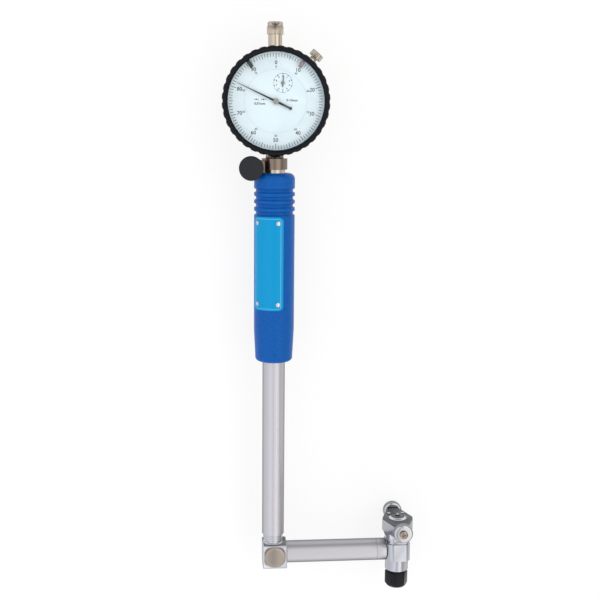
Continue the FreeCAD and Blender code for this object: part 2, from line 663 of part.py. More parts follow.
def lock_nut():
    """Black hexagon nut that closes the collet on the anvil."""
    top_y = BARREL_BOTTOM_Y - NUT_STANDOFF
    low_y = top_y - NUT_LENGTH
    corner = NUT_FLATS / math.sqrt(3)
    points = []
    for index in range(6):
        angle = math.radians(60 * index)
        points.append(V(corner * math.cos(angle), low_y, corner * math.sin(angle)))
    nut = prism(points, V(0, NUT_LENGTH, 0))
    nut = nut.common(turned([(0, low_y), (NUT_CORNER_R - NUT_TOP_CHAMFER, low_y),
                             (NUT_CORNER_R, low_y + NUT_LOW_CHAMFER), (NUT_CORNER_R, top_y - NUT_TOP_CHAMFER),
                             (NUT_CORNER_R - NUT_TOP_CHAMFER, top_y), (0, top_y)]))
    nut = nut.cut(rod(COLLET_R + RUNNING_GAP, NUT_LENGTH - NUT_LIP, V(0, low_y + NUT_LIP, 0), Y_AXIS))
    nut = nut.cut(rod(NUT_HOLE_R, NUT_LIP, V(0, low_y, 0), Y_AXIS))
    nut.translate(HEAD_ORIGIN)
    return nut


# ---- centring bridge ----
def diamond(inset, low_y, height):
    """Upright prism of the bridge's diamond outline with rounded points."""
    half_width = BRIDGE_HALF_WIDTH - inset
    half_length = BRIDGE_HALF_LENGTH - inset
    end_half = BRIDGE_END_HALF - inset / 2
    points = [V(half_width, low_y, 0), V(end_half, low_y, half_length), V(-end_half, low_y, half_length),
              V(-half_width, low_y, 0), V(-end_half, low_y, -half_length), V(end_half, low_y, -half_length)]
    block = prism(points, V(0, height, 0))
    points_x = [edge for edge in block.Edges
                if abs(edge.tangentAt(edge.FirstParameter).y) > MOSTLY and abs(edge.CenterOfMass.z) < BRIDGE_CORNER_R]
    return block.makeFillet(BRIDGE_CORNER_R, points_x)


def centring_bridge():
    """Diamond block with a skirt that slides on the head's stub, and a journal at each end."""
    top = diamond(0.0, BRIDGE_FLARE_TOP_Y, BRIDGE_TOP_Y - BRIDGE_FLARE_TOP_Y)
    gap = SKIRT_GAP
    inner_width = HEAD_WIDTH - 2 * STUB_INSET + 2 * gap
    inner_depth = HEAD_DEPTH - 2 * STUB_INSET + 2 * gap
    inner_corner = HEAD_CORNER_R - STUB_INSET + gap
    width = inner_width + 2 * SKIRT_WALL
    depth = inner_depth + 2 * SKIRT_WALL
    skirt = rounded_post(width, depth, inner_corner + SKIRT_WALL, BRIDGE_SKIRT_Y, BRIDGE_FLARE_TOP_Y)
    flare_low = width / 2 - COVER_GAP
    reach = BRIDGE_HALF_WIDTH - BRIDGE_FLARE_INSET
    wing = prism([V(-flare_low, BRIDGE_FLARE_Y, 0), V(flare_low, BRIDGE_FLARE_Y, 0),
                  V(reach, BRIDGE_FLARE_TOP_Y, 0), V(-reach, BRIDGE_FLARE_TOP_Y, 0)], V(0, 0, depth))
    wing.translate(V(0, 0, -depth / 2))
    wing = wing.common(diamond(RUNNING_GAP, BRIDGE_SKIRT_Y, BRIDGE_TOP_Y - BRIDGE_SKIRT_Y))
    body = top.fuse(skirt).fuse(wing)
    for side in (-1, 1):
        start = V(0, ROLLER_Y, side * (BRIDGE_HALF_LENGTH - PLATE_INSET))
        length = JOURNAL_END_Z - BRIDGE_HALF_LENGTH + PLATE_INSET
        body = body.fuse(rod(JOURNAL_R, length, start, Z_AXIS * side))
        screw_start = V(0, ROLLER_Y, side * JOURNAL_END_Z)
        body = body.cut(rod(ROLLER_SCREW_SHANK_R, ROLLER_SCREW_LENGTH, screw_start, Z_AXIS * -side))
    body = body.cut(rounded_post(inner_width, inner_depth, inner_corner, BRIDGE_SKIRT_Y, BRIDGE_ROOF_Y))
    body = body.cut(rod(CONTACT_HOLE_R, BRIDGE_TOP_Y - BRIDGE_ROOF_Y, V(0, BRIDGE_ROOF_Y, 0), Y_AXIS))
    for side in (-1, 1):
        pin_low = BRIDGE_ROOF_Y - GUIDE_PIN_LENGTH
        body = body.fuse(rod(GUIDE_PIN_R, GUIDE_PIN_LENGTH, V(0, pin_low, side * GUIDE_PIN_Z), Y_AXIS))
        start = V(side * PLATE_SCREW_X, BRIDGE_TOP_Y - PLATE_SCREW_DEPTH - SMALL_EDGE, PLATE_SCREW_Z)
        body = body.cut(rod(PLATE_SCREW_SHANK_R, PLATE_SCREW_DEPTH + SMALL_EDGE, start, Y_AXIS))
    body.translate(HEAD_ORIGIN)
    return body.removeSplitter()


def bridge_plate():
    """Dark hardened wear plate on the bridge, with a round boss about the contact."""
    plate = diamond(PLATE_INSET, BRIDGE_TOP_Y, PLATE_THICKNESS)
    top_y = BRIDGE_TOP_Y + PLATE_THICKNESS
    boss = turned([(0, top_y), (BOSS_R, top_y), (BOSS_R - BOSS_CHAMFER, top_y + BOSS_HEIGHT),
                   (0, top_y + BOSS_HEIGHT)])
    plate = plate.fuse(boss)
    plate = plate.cut(rod(CONTACT_HOLE_R, PLATE_THICKNESS + BOSS_HEIGHT, V(0, BRIDGE_TOP_Y, 0), Y_AXIS))
    for side in (-1, 1):
        start = V(side * PLATE_SCREW_X, BRIDGE_TOP_Y, PLATE_SCREW_Z)
        plate = plate.cut(rod(PLATE_SCREW_SHANK_R, PLATE_THICKNESS + BOSS_HEIGHT, start, Y_AXIS))
    plate.translate(HEAD_ORIGIN)
    return plate


def bridge_plate_screws():
    """Two small screws that hold the wear plate."""
    screws = []
    top_y = BRIDGE_TOP_Y + PLATE_THICKNESS
    for side in (-1, 1):
        start = HEAD_ORIGIN + V(side * PLATE_SCREW_X, top_y, PLATE_SCREW_Z)
        head = rod(PLATE_SCREW_R, PLATE_SCREW_HEAD, start, Y_AXIS)
        shank = rod(PLATE_SCREW_SHANK_R, PLATE_THICKNESS + PLATE_SCREW_DEPTH, start, Y_AXIS * -1)
        screws.append(head.fuse(shank))
    return Part.makeCompound(screws)


def bridge_springs():
    """Two springs in the stub that push the bridge out."""
    springs = []
    length = BRIDGE_ROOF_Y - SPRING_FLOOR_Y
    mean_r = SPRING_HOLE_R - RUNNING_GAP - SPRING_WIRE / 2
    for side in (-1, 1):
        centre = HEAD_ORIGIN + V(0, 0, side * GUIDE_PIN_Z)
        springs.append(coil(mean_r, SPRING_WIRE, SPRING_TURNS, SPRING_FLOOR_Y, length, centre))
    return Part.makeCompound(springs)


def roller(side):
    """Hardened centring roller with rounded rims."""
    low = ROLLER_Z
    high = ROLLER_Z + ROLLER_WIDTH
    bore = JOURNAL_R + RUNNING_GAP
    face = ROLLER_R - ROLLER_EDGE
    near = []
    far = []
    for step in range(ROLLER_EDGE_STEPS + 1):
        angle = math.pi / 2 * step / ROLLER_EDGE_STEPS
        radius = face + ROLLER_EDGE * math.sin(angle)
        drop = ROLLER_EDGE * (1 - math.cos(angle))
        near.append((radius, low + drop))
        far.append((radius, high - drop))
    outline = [(bore, low)] + near + far[::-1] + [(bore, high)]
    return turned_z([(r, side * z) for r, z in outline], HEAD_ORIGIN + V(0, ROLLER_Y, 0))


def roller_screw(side):
    """Pan-head screw in the end of the journal."""
    top = JOURNAL_END_Z + ROLLER_SCREW_HEAD
    shoulder = (ROLLER_SCREW_R + ROLLER_SCREW_CROWN_R) / 2
    outline = [(0, JOURNAL_END_Z), (ROLLER_SCREW_R, JOURNAL_END_Z), (ROLLER_SCREW_R, top - ROLLER_SCREW_HEAD / 2),
               (shoulder, top - COVER_GAP), (ROLLER_SCREW_CROWN_R, top), (0, top)]
    centre = HEAD_ORIGIN + V(0, ROLLER_Y, 0)
    head = turned_z([(r, side * z) for r, z in outline], centre)
    start = centre + V(0, 0, side * (JOURNAL_END_Z - ROLLER_SCREW_LENGTH + SMALL_EDGE))
    shank = rod(ROLLER_SCREW_SHANK_R, ROLLER_SCREW_LENGTH - SMALL_EDGE, start, Z_AXIS * side)
    return head.fuse(shank)


# ---- handle ----
def handle_core():
    """Metal core of the handle: it holds the main tube and carries the clamp neck."""
    outline = [(TUBE_R, CORE_BOTTOM_Y), (CORE_R, CORE_BOTTOM_Y), (CORE_R, GRIP_TOP_Y - GRIP_TOP_ROUND),
               (HANDLE_NECK_R, GRIP_TOP_Y - CORE_SHOULDER), (HANDLE_NECK_R, COLLAR_Y),
               (STEM_R + COVER_GAP, COLLAR_Y), (STEM_R + COVER_GAP, CORE_SOCKET_Y),
               (CORE_CHAMBER_R, CORE_SOCKET_Y), (CORE_CHAMBER_R, MAIN_TUBE_TOP_Y), (TUBE_R, MAIN_TUBE_TOP_Y)]
    return turned(outline)


def top_rod_guide():
    """Guide bush at the top of the handle core."""
    return pipe(CORE_CHAMBER_R, ROD_R + RUNNING_GAP, TOP_GUIDE_LENGTH, V(0, TOP_GUIDE_Y, 0), Y_AXIS)


def grip():
    """Moulded rubber sleeve with finger grooves, a domed shoulder and a slimmer lower end."""
    top_arc = Part.Arc(V(GRIP_R, GRIP_TOP_Y - GRIP_TOP_ROUND, 0),
                       V(GRIP_R - GRIP_TOP_ROUND * (1 - DIAGONAL),
                         GRIP_TOP_Y - GRIP_TOP_ROUND * (1 - DIAGONAL), 0),
                       V(GRIP_R - GRIP_TOP_ROUND, GRIP_TOP_Y, 0)).toShape()
    low_arc = Part.Arc(V(GRIP_LOW_R - GRIP_LOW_ROUND, GRIP_BOTTOM_Y, 0),
                       V(GRIP_LOW_R - GRIP_LOW_ROUND * (1 - DIAGONAL),
                         GRIP_BOTTOM_Y + GRIP_LOW_ROUND * (1 - DIAGONAL), 0),
                       V(GRIP_LOW_R, GRIP_BOTTOM_Y + GRIP_LOW_ROUND, 0)).toShape()
    foot = V(GRIP_LOW_R, GRIP_BOTTOM_Y + GRIP_LOW_ROUND, 0)
    waist = V(GRIP_R, GRIP_TAPER_START_Y, 0)
    shoulder = V(GRIP_R, GRIP_TOP_Y - GRIP_TOP_ROUND, 0)
    edges = [Part.makeLine(V(TUBE_R, GRIP_BOTTOM_Y, 0), V(GRIP_LOW_R - GRIP_LOW_ROUND, GRIP_BOTTOM_Y, 0)),
             low_arc, Part.makeLine(foot, waist), Part.makeLine(waist, shoulder), top_arc,
             Part.makeLine(V(GRIP_R - GRIP_TOP_ROUND, GRIP_TOP_Y, 0), V(TUBE_R, GRIP_TOP_Y, 0)),
             Part.makeLine(V(TUBE_R, GRIP_TOP_Y, 0), V(TUBE_R, GRIP_BOTTOM_Y, 0))]
    face = Part.Face(Part.Wire(Part.__sortEdges__(edges)))
    body = face.revolve(V(0, 0, 0), Y_AXIS, 360)
    seat = turned([(0, CORE_BOTTOM_Y), (CORE_R, CORE_BOTTOM_Y), (CORE_R, GRIP_TOP_Y - GRIP_TOP_ROUND),
                   (HANDLE_NECK_R, GRIP_TOP_Y - CORE_SHOULDER), (HANDLE_NECK_R, GRIP_TOP_Y), (0, GRIP_TOP_Y)])
    body = body.cut(seat)
    for index in range(GROOVE_COUNT):
        y = GROOVE_TOP_Y - GROOVE_PITCH * index
        body = body.cut(Part.makeTorus(GRIP_R + GROOVE_OFFSET, GROOVE_R, V(0, y, 0), Y_AXIS))
    return body


def around_handle(shape):
    """Turn a shape drawn towards +Z to where the label faces."""
    shape.rotate(V(0, 0, 0), Y_AXIS, LABEL_TURN)
    return shape


def name_label():
    """Plain curved label plate with rounded corners."""
    shell = pipe(GRIP_R + LABEL_THICKNESS, GRIP_R, LABEL_LENGTH, V(0, LABEL_BOTTOM_Y, 0), Y_AXIS)
    window = box((-LABEL_HALF_WIDTH, LABEL_HALF_WIDTH), (LABEL_BOTTOM_Y, LABEL_BOTTOM_Y + LABEL_LENGTH),
                 (1.0, GRIP_R + LABEL_THICKNESS + 1.0))
    corners = [edge for edge in window.Edges if abs(edge.tangentAt(edge.FirstParameter).z) > MOSTLY]
    window = window.makeFillet(LABEL_CORNER_R, corners)
    return around_handle(shell.common(window))


def label_screws():
    """Four small drive screws at the corners of the label."""
    screws = []
    face_r = GRIP_R + LABEL_THICKNESS
    turn = math.degrees(math.asin(LABEL_SCREW_X / face_r))
    for end_y in (LABEL_BOTTOM_Y + LABEL_SCREW_EDGE, LABEL_BOTTOM_Y + LABEL_LENGTH - LABEL_SCREW_EDGE):
        for side in (-1, 1):
            outline = [(0, face_r), (LABEL_SCREW_R, face_r),
                       (LABEL_SCREW_R, face_r + LABEL_SCREW_HEIGHT / 2),
                       (LABEL_SCREW_R / 2, face_r + LABEL_SCREW_HEIGHT), (0, face_r + LABEL_SCREW_HEIGHT)]
            screw = turned_z(outline)
            screw.rotate(V(0, 0, 0), Y_AXIS, side * turn)
            screw.translate(V(0, end_y, 0))
            screws.append(around_handle(screw))
    return Part.makeCompound(screws)


# ---- indicator clamp ----
def clamp_collar():
    """Split collar on the handle neck that grips the indicator's stem."""
    middle = V(0, COLLAR_Y, 0)
    body = rod(COLLAR_R, COLLAR_HEIGHT, middle, Y_AXIS)
    ear_top_y = EAR_LOW_Y + EAR_HEIGHT
    ears = box((-EAR_REACH, -COLLAR_ROOT), (EAR_LOW_Y, ear_top_y), (-EAR_HALF_DEPTH, EAR_HALF_DEPTH))
    under = rod(COLLAR_R + COVER_GAP, EAR_DROP, V(0, EAR_LOW_Y, 0), Y_AXIS)
    corners = [edge for edge in ears.Edges
               if abs(edge.tangentAt(edge.FirstParameter).z) > MOSTLY and edge.CenterOfMass.x < 1 - EAR_REACH]
    body = body.fuse(ears.makeFillet(EAR_CORNER_R, corners).cut(under))
    body = body.cut(rod(STEM_R + RUNNING_GAP, COLLAR_HEIGHT, middle, Y_AXIS))
    slit = box((-EAR_REACH, 0), (EAR_LOW_Y, COLLAR_TOP_Y), (-EAR_SLIT / 2, EAR_SLIT / 2))
    body = body.cut(slit)
    stud_way = rod(STUD_R + RUNNING_GAP, 2 * EAR_HALF_DEPTH, V(STUD_X, STUD_Y, -EAR_HALF_DEPTH), Z_AXIS)
    return body.cut(stud_way).removeSplitter()


def clamp_knob():
    """Black moulded knob of the clamp screw."""
    boss_z = EAR_HALF_DEPTH + RUNNING_GAP
    low = boss_z + KNOB_STANDOFF
    high = low + KNOB_THICKNESS
    bore = STUD_R
    outline = [(bore, boss_z), (KNOB_BOSS_R, boss_z), (KNOB_BOSS_R, low), (KNOB_R - KNOB_EDGE, low),
               (KNOB_R, low + KNOB_EDGE), (KNOB_R, high - KNOB_EDGE), (KNOB_R - KNOB_EDGE, high),
               (0, high), (0, high - KNOB_SKIN), (bore, high - KNOB_SKIN)]
    return turned_z(outline, V(STUD_X, STUD_Y, 0))


def clamp_stud():
    """Steel stud moulded into the knob and screwed through both ears."""
    top = EAR_HALF_DEPTH + RUNNING_GAP + KNOB_STANDOFF + KNOB_THICKNESS - KNOB_SKIN
    return rod(STUD_R, top + EAR_HALF_DEPTH, V(STUD_X, STUD_Y, -EAR_HALF_DEPTH), Z_AXIS)


# ---- dial indicator: case ----
def dial_case():
    """Case ring with a front lip for the bezel, a screw boss and the bores for stem and cap tube."""
    body = turned_z([(CASE_INNER_R, CASE_BACK_Z), (CASE_R, CASE_BACK_Z), (CASE_R, CASE_FRONT_Z),
                     (CASE_LIP_R, CASE_FRONT_Z), (CASE_LIP_R, CASE_LIP_Z), (CASE_INNER_R, CASE_LIP_Z)])
    angle = math.radians(LOCK_TURN)
    outward = V(math.cos(angle), math.sin(angle), 0)
    lift = V(0, 0, LOCK_Z)
    boss_length = CASE_WALL - LOCK_BOSS_ROOT + LOCK_BOSS_LENGTH
    boss = rod(LOCK_BOSS_R, boss_length, outward * (CASE_INNER_R + LOCK_BOSS_ROOT) + lift, outward)
    body = body.fuse(boss)
    body = body.cut(rod(LOCK_SCREW_R + RUNNING_GAP, CASE_R, outward * (CASE_INNER_R - CASE_WALL) + lift, outward))
    body = body.cut(rod(STEM_R, CASE_R, V(0, 0, 0), Y_AXIS * -1))
    body = body.cut(rod(CAP_TUBE_R, CASE_R, V(0, 0, 0), Y_AXIS))
    body.translate(DIAL_CENTRE)
    return body


def back_cover():
    """Plain round cover on the back of the case."""
    low = CASE_BACK_Z - COVER_THICKNESS
    body = turned_z([(0, low), (COVER_R - COVER_EDGE, low), (COVER_R, low + COVER_EDGE), (COVER_R, CASE_BACK_Z),
                     (0, CASE_BACK_Z)])
    for x, y in cover_screw_places():
        body = body.cut(rod(COVER_SCREW_R, COVER_THICKNESS, V(x, y, low), Z_AXIS))
    body.translate(DIAL_CENTRE)
    return body


def cover_screw_places():
    """Centres of the cover screws about the dial centre."""
    places = []
    for index in range(COVER_SCREW_COUNT):
        angle = math.radians(COVER_SCREW_TURN + 360 * index / COVER_SCREW_COUNT)
        places.append((COVER_SCREW_CIRCLE_R * math.cos(angle), COVER_SCREW_CIRCLE_R * math.sin(angle)))
    return places


def back_cover_screws():
    """Flush screws of the back cover, in lugs of the rear movement plate."""
    low = CASE_BACK_Z - COVER_THICKNESS
    screws = []
    for x, y in cover_screw_places():
        length = PLATE_BACK_Z - low
        screws.append(rod(COVER_SCREW_R, length, DIAL_CENTRE + V(x, y, low), Z_AXIS))
    return Part.makeCompound(screws)


def stem():
    """Ground stem below the case, with the spindle's bore."""
    top = DIAL_Y - CASE_INNER_R
    body = rod(STEM_R, top - STEM_BOTTOM_Y, V(0, STEM_BOTTOM_Y, 0), Y_AXIS)
    boss_top = DIAL_Y - CASE_R
    ring_low = COLLAR_TOP_Y + RUNNING_GAP
    ring = rod(STEM_BOSS_R, boss_top - ring_low, V(0, ring_low, 0), Y_AXIS)
    outside = rod(CASE_R, BEZEL_FRONT_Z * 2, DIAL_CENTRE + V(0, 0, -BEZEL_FRONT_Z), Z_AXIS)
    body = body.fuse(ring.cut(outside))
    return body.cut(rod(SPINDLE_R + RUNNING_GAP, top - STEM_BOTTOM_Y, V(0, STEM_BOTTOM_Y, 0), Y_AXIS))


def cap_tube():
    """Plated tube above the case that guards the spindle's upper end."""
    low = DIAL_Y + CASE_INNER_R
    inner = SPINDLE_R + RUNNING_GAP
    return pipe(CAP_TUBE_R, inner, CAP_TUBE_TOP_Y - low, V(0, low, 0), Y_AXIS)


def dust_cap():
    """Knurled cap with a polished top."""
    low = CAP_TUBE_TOP_Y
    top = low + CAP_HEIGHT
    body = knurled(CAP_R, CAP_KNURL_HEIGHT, V(0, low, 0), Y_AXIS, CAP_KNURL_COUNT)
    band_top = low + CAP_KNURL_HEIGHT
    crown_r = CAP_R - CAP_STEP
    crown = turned([(0, band_top), (crown_r, band_top), (crown_r, top - CAP_EDGE), (crown_r - CAP_EDGE, top),
                    (0, top)])
    body = body.fuse(crown)
    inner = SPINDLE_R + COVER_GAP
    return body.cut(rod(inner, CAP_HEIGHT - CAP_WALL, V(0, low, 0), Y_AXIS))


def bezel_lock_screw():
    """Radial thumb screw that stops the bezel from turning."""
    collar_start = CASE_WALL + LOCK_BOSS_LENGTH + RUNNING_GAP
    head_start = LOCK_HEAD_START - CASE_INNER_R
    body = turned_z([(0, 0), (LOCK_SCREW_R, 0), (LOCK_SCREW_R, collar_start), (LOCK_COLLAR_R, collar_start),
                     (LOCK_NECK_R, head_start), (0, head_start)])
    body = body.fuse(knurled(LOCK_HEAD_R, LOCK_HEAD_LENGTH, V(0, 0, head_start), Z_AXIS, LOCK_KNURL_COUNT))
    angle = math.radians(LOCK_TURN)
    outward = V(math.cos(angle), math.sin(angle), 0)
    start = DIAL_CENTRE + outward * CASE_INNER_R + V(0, 0, LOCK_Z)
    body.Placement = FreeCAD.Placement(start, FreeCAD.Rotation(Z_AXIS, outward))
    return body


# ---- dial indicator: bezel and dial ----
def bezel_ring():
    """Scalloped turning bezel with a sloping inner rim."""
    inner = CASE_LIP_R + RUNNING_GAP
    body = turned_z([(inner, BEZEL_BACK_Z), (BEZEL_R - BEZEL_EDGE, BEZEL_BACK_Z),
                     (BEZEL_R, BEZEL_BACK_Z + BEZEL_EDGE), (BEZEL_R, BEZEL_FRONT_Z - BEZEL_FRONT_EDGE),
                     (BEZEL_SLOPE_R + BEZEL_FRONT_FLAT, BEZEL_FRONT_Z), (BEZEL_SLOPE_R, BEZEL_FRONT_Z),
                     (BEZEL_LIP_R, BEZEL_LIP_Z + BEZEL_LIP), (BEZEL_LIP_R, BEZEL_LIP_Z),
                     (BEZEL_SEAT_R, BEZEL_LIP_Z), (BEZEL_SEAT_R, BEZEL_STEP_Z), (inner, BEZEL_STEP_Z)])
    reach = BEZEL_R - SCALLOP_DEPTH + SCALLOP_R
    height = BEZEL_FRONT_Z - BEZEL_BACK_Z
    for index in range(SCALLOP_COUNT):
        angle = 2 * math.pi * index / SCALLOP_COUNT
        centre = V(reach * math.cos(angle), reach * math.sin(angle), BEZEL_BACK_Z)
        body = body.cut(rod(SCALLOP_R, height, centre, Z_AXIS))
    body.translate(DIAL_CENTRE)
    return body


def dial_ring():
    """Printed scale ring that turns with the bezel."""
    inner = INNER_DIAL_R + RUNNING_GAP
    return pipe(BEZEL_SEAT_R, inner, DIAL_PLATE_THICKNESS, DIAL_CENTRE + V(0, 0, BEZEL_STEP_Z), Z_AXIS)


def inner_dial():
    """Fixed middle of the dial with the revolution scale, seated on the front movement plate."""
    foot_z = PLATE_FRONT_Z + MOVEMENT_PLATE
    body = rod(INNER_DIAL_R, DIAL_PLATE_THICKNESS, V(0, 0, BEZEL_STEP_Z), Z_AXIS)
    body = body.fuse(rod(INNER_DIAL_FOOT_R, BEZEL_STEP_Z - foot_z, V(0, 0, foot_z), Z_AXIS))
    for x, y in wheel_places() + [(0, 0)]:
        body = body.cut(rod(ARBOR_HOLE_R, BEZEL_FRONT_Z, V(x, y, 0), Z_AXIS))
    body.translate(DIAL_CENTRE)
    return body


def crystal():
    """Clear front disc held behind the bezel's lip."""
    low = BEZEL_LIP_Z - CRYSTAL_THICKNESS
    return rod(BEZEL_SEAT_R, CRYSTAL_THICKNESS, DIAL_CENTRE + V(0, 0, low), Z_AXIS)


def limit_marker(turn):
    """Tolerance marker that slides round inside the bezel."""
    outer = BEZEL_SEAT_R - RUNNING_GAP
    tab = box((outer - MARKER_LENGTH, outer + 1), (-MARKER_WIDTH / 2, MARKER_WIDTH / 2),
              (MARKER_Z, MARKER_Z + MARKER_THICKNESS))
    tab = tab.common(rod(outer, MARKER_THICKNESS, V(0, 0, MARKER_Z), Z_AXIS))
    tab.rotate(V(0, 0, 0), Z_AXIS, turn)
    tab.translate(DIAL_CENTRE)
    return tab


# ---- dial indicator: movement ----
def movement_disc(low_z, height, small_holes, large_holes):
    """Round movement plate with arbor holes and through holes."""
    body = rod(CASE_INNER_R, height, V(0, 0, low_z), Z_AXIS)
    for x, y in small_holes:
        body = body.cut(rod(ARBOR_R + RUNNING_GAP, height, V(x, y, low_z), Z_AXIS))
    for x, y in large_holes:
        body = body.cut(rod(PILLAR_R, height, V(x, y, low_z), Z_AXIS))
    body.translate(DIAL_CENTRE)
    return body


def rear_movement_plate():
    """Back plate of the movement."""
    return movement_disc(PLATE_BACK_Z, MOVEMENT_PLATE, wheel_places(), [])


def front_movement_plate():
    """Front plate of the movement, behind the dial."""
    return movement_disc(PLATE_FRONT_Z, MOVEMENT_PLATE, wheel_places() + [(0, 0)], [])


def wheel_places():
    """Arbor centres of the rack wheel and the revolution wheel."""
    return [(-WHEEL_X, -WHEEL_Y), (WHEEL_X, WHEEL_Y)]


def movement_pillars():
    """Two stepped pillars that hold the plates and the centre bridge apart."""
    low = PLATE_BACK_Z + MOVEMENT_PLATE
    pillars = []
    for side in (-1, 1):
        place = DIAL_CENTRE + V(-side * PILLAR_X, side * PILLAR_Y, 0)
        lower = rod(PILLAR_R, BRIDGE_BAR_Z - low, place + V(0, 0, low), Z_AXIS)
        upper = rod(PILLAR_TOP_R, PLATE_FRONT_Z - BRIDGE_BAR_Z, place + V(0, 0, BRIDGE_BAR_Z), Z_AXIS)
        pillars.append(lower.fuse(upper))
    return Part.makeCompound(pillars)


def centre_bridge():
    """Bar across the pillars that carries the back end of the centre arbor."""
    length = math.hypot(PILLAR_X, PILLAR_Y)
    bar = box((-length, length), (-BAR_HALF_WIDTH, BAR_HALF_WIDTH), (BRIDGE_BAR_Z, BRIDGE_BAR_Z + BRIDGE_BAR))
    for side in (-1, 1):
        end = V(side * length, 0, BRIDGE_BAR_Z)
        bar = bar.fuse(rod(BAR_HALF_WIDTH, BRIDGE_BAR, end, Z_AXIS))
        bar = bar.cut(rod(PILLAR_TOP_R, BRIDGE_BAR, end, Z_AXIS))
    bar = bar.cut(rod(ARBOR_R + RUNNING_GAP, BRIDGE_BAR, V(0, 0, BRIDGE_BAR_Z), Z_AXIS))
    bar.rotate(V(0, 0, 0), Z_AXIS, math.degrees(math.atan2(PILLAR_Y, -PILLAR_X)))
    bar.translate(DIAL_CENTRE)
    return bar.removeSplitter()


def spindle():
    """Measuring spindle with the rack cut in its left side."""
    body = rod(SPINDLE_R, SPINDLE_TOP_Y - SPINDLE_BOTTOM_Y, V(0, SPINDLE_BOTTOM_Y, 0), Y_AXIS)
    module = RACK_PITCH / math.pi
    root_x = RACK_LINE_X + module * RACK_DEDENDUM
    centre_y = DIAL_Y - WHEEL_Y
    for index in range(RACK_TEETH + 1):
        y = centre_y + (index - RACK_TEETH / 2) * RACK_PITCH
        mouth = RACK_PITCH * RACK_GAP_MOUTH
        root = RACK_PITCH * RACK_GAP_ROOT
        outside_x = -SPINDLE_R - RUNNING_GAP
        gap = [V(outside_x, y - mouth, 0), V(root_x, y - root, 0), V(root_x, y + root, 0),
               V(outside_x, y + mouth, 0)]
        cutter = prism(gap, V(0, 0, 2 * SPINDLE_R))
        cutter.translate(V(0, 0, -SPINDLE_R))
        body = body.cut(cutter)
    return body


def spindle_foot():
    """Screwed-in steel foot that rests on the main rod."""
    low = MAIN_ROD_TOP_Y + CONTACT_GAP
    return turned([(0, low), (ROD_TIP_R, low), (FOOT_R, low + CONTACT_STEP), (FOOT_R, SPINDLE_BOTTOM_Y),
                   (0, SPINDLE_BOTTOM_Y)])


def rack_wheel():
    """Arbor with the rack pinion and the large wheel."""
    low = PLATE_BACK_Z + ARBOR_END_GAP
    high = PLATE_FRONT_Z + MOVEMENT_PLATE - ARBOR_END_GAP
    body = rod(ARBOR_R, high - low, V(0, 0, low), Z_AXIS)
    body = body.fuse(spur_wheel(RACK_PINION_TEETH, RACK_PINION_R, 0.0, -RACK_PINION_HALF, 2 * RACK_PINION_HALF))
    mesh = math.degrees(math.atan2(WHEEL_Y, WHEEL_X))
    body = body.fuse(spur_wheel(WHEEL_TEETH, WHEEL_PITCH_R, mesh, GEAR_Z, GEAR_FACE))
    body.translate(DIAL_CENTRE + V(-WHEEL_X, -WHEEL_Y, 0))
    return body


def revolution_wheel():
    """Take-up wheel whose arbor carries the revolution pointer."""
    low = PLATE_BACK_Z + ARBOR_END_GAP
    body = rod(ARBOR_R, SMALL_POINTER_Z - low, V(0, 0, low), Z_AXIS)
    mesh = math.degrees(math.atan2(-WHEEL_Y, -WHEEL_X))
    body = body.fuse(spur_wheel(WHEEL_TEETH, WHEEL_PITCH_R, mesh, GEAR_Z, GEAR_FACE))
    body.translate(DIAL_CENTRE + V(WHEEL_X, WHEEL_Y, 0))
    return body


def centre_arbor():
    """Centre arbor with the pinion that drives the main pointer."""
    low = BRIDGE_BAR_Z + ARBOR_END_GAP
    body = rod(ARBOR_R, POINTER_Z + POINTER_THICKNESS - low, V(0, 0, low), Z_AXIS)
    mesh = math.degrees(math.atan2(WHEEL_Y, WHEEL_X)) + 180.0 / PINION_TEETH
    face = GEAR_FACE + 2 * PINION_EXTRA
    body = body.fuse(spur_wheel(PINION_TEETH, PINION_PITCH_R, mesh, GEAR_Z - PINION_EXTRA, face))
    body.translate(DIAL_CENTRE)
    return body


def hairspring():
    """Flat spiral spring on the take-up wheel's arbor."""
    low_z = GEAR_Z - SPRING_DROP
    outside = []
    inside = []
    for step in range(SPRING_COILS * SPRING_STEPS + 1):
        angle = 2 * math.pi * step / SPRING_STEPS
        near = ARBOR_R + SPRING_GROWTH * step / SPRING_STEPS
        far = near + SPRING_RIBBON
        outside.append(V(far * math.cos(angle), far * math.sin(angle), low_z))
        inside.append(V(near * math.cos(angle), near * math.sin(angle), low_z))
    body = prism(outside + inside[::-1], V(0, 0, SPRING_HEIGHT))
    body.translate(DIAL_CENTRE + V(WHEEL_X, WHEEL_Y, 0))
    return body


def main_pointer():
    """Slender main pointer with a hub and a round-ended tail."""
    low = POINTER_Z
    root = POINTER_ROOT_HALF
    tip = POINTER_TIP_HALF
    blade = prism([V(0, root, low), V(POINTER_LENGTH, tip, low), V(POINTER_LENGTH, -tip, low), V(0, -root, low),
                   V(-POINTER_TAIL, -root, low), V(-POINTER_TAIL, root, low)], V(0, 0, POINTER_THICKNESS))
    blade = blade.fuse(rod(POINTER_TAIL_R, POINTER_THICKNESS, V(-POINTER_TAIL, 0, low), Z_AXIS))
    crown = low + POINTER_HUB_RISE
    hub = turned_z([(ARBOR_R, low), (POINTER_HUB_R, low), (POINTER_HUB_R, crown - POINTER_TIP_HALF),
                    (POINTER_HUB_R - SMALL_EDGE, crown), (0, crown), (0, low + POINTER_THICKNESS),
                    (ARBOR_R, low + POINTER_THICKNESS)])
    body = blade.cut(rod(POINTER_HUB_R, POINTER_THICKNESS, V(0, 0, low), Z_AXIS)).fuse(hub)
    body.rotate(V(0, 0, 0), Z_AXIS, POINTER_TURN)
    body.translate(DIAL_CENTRE)
    return body


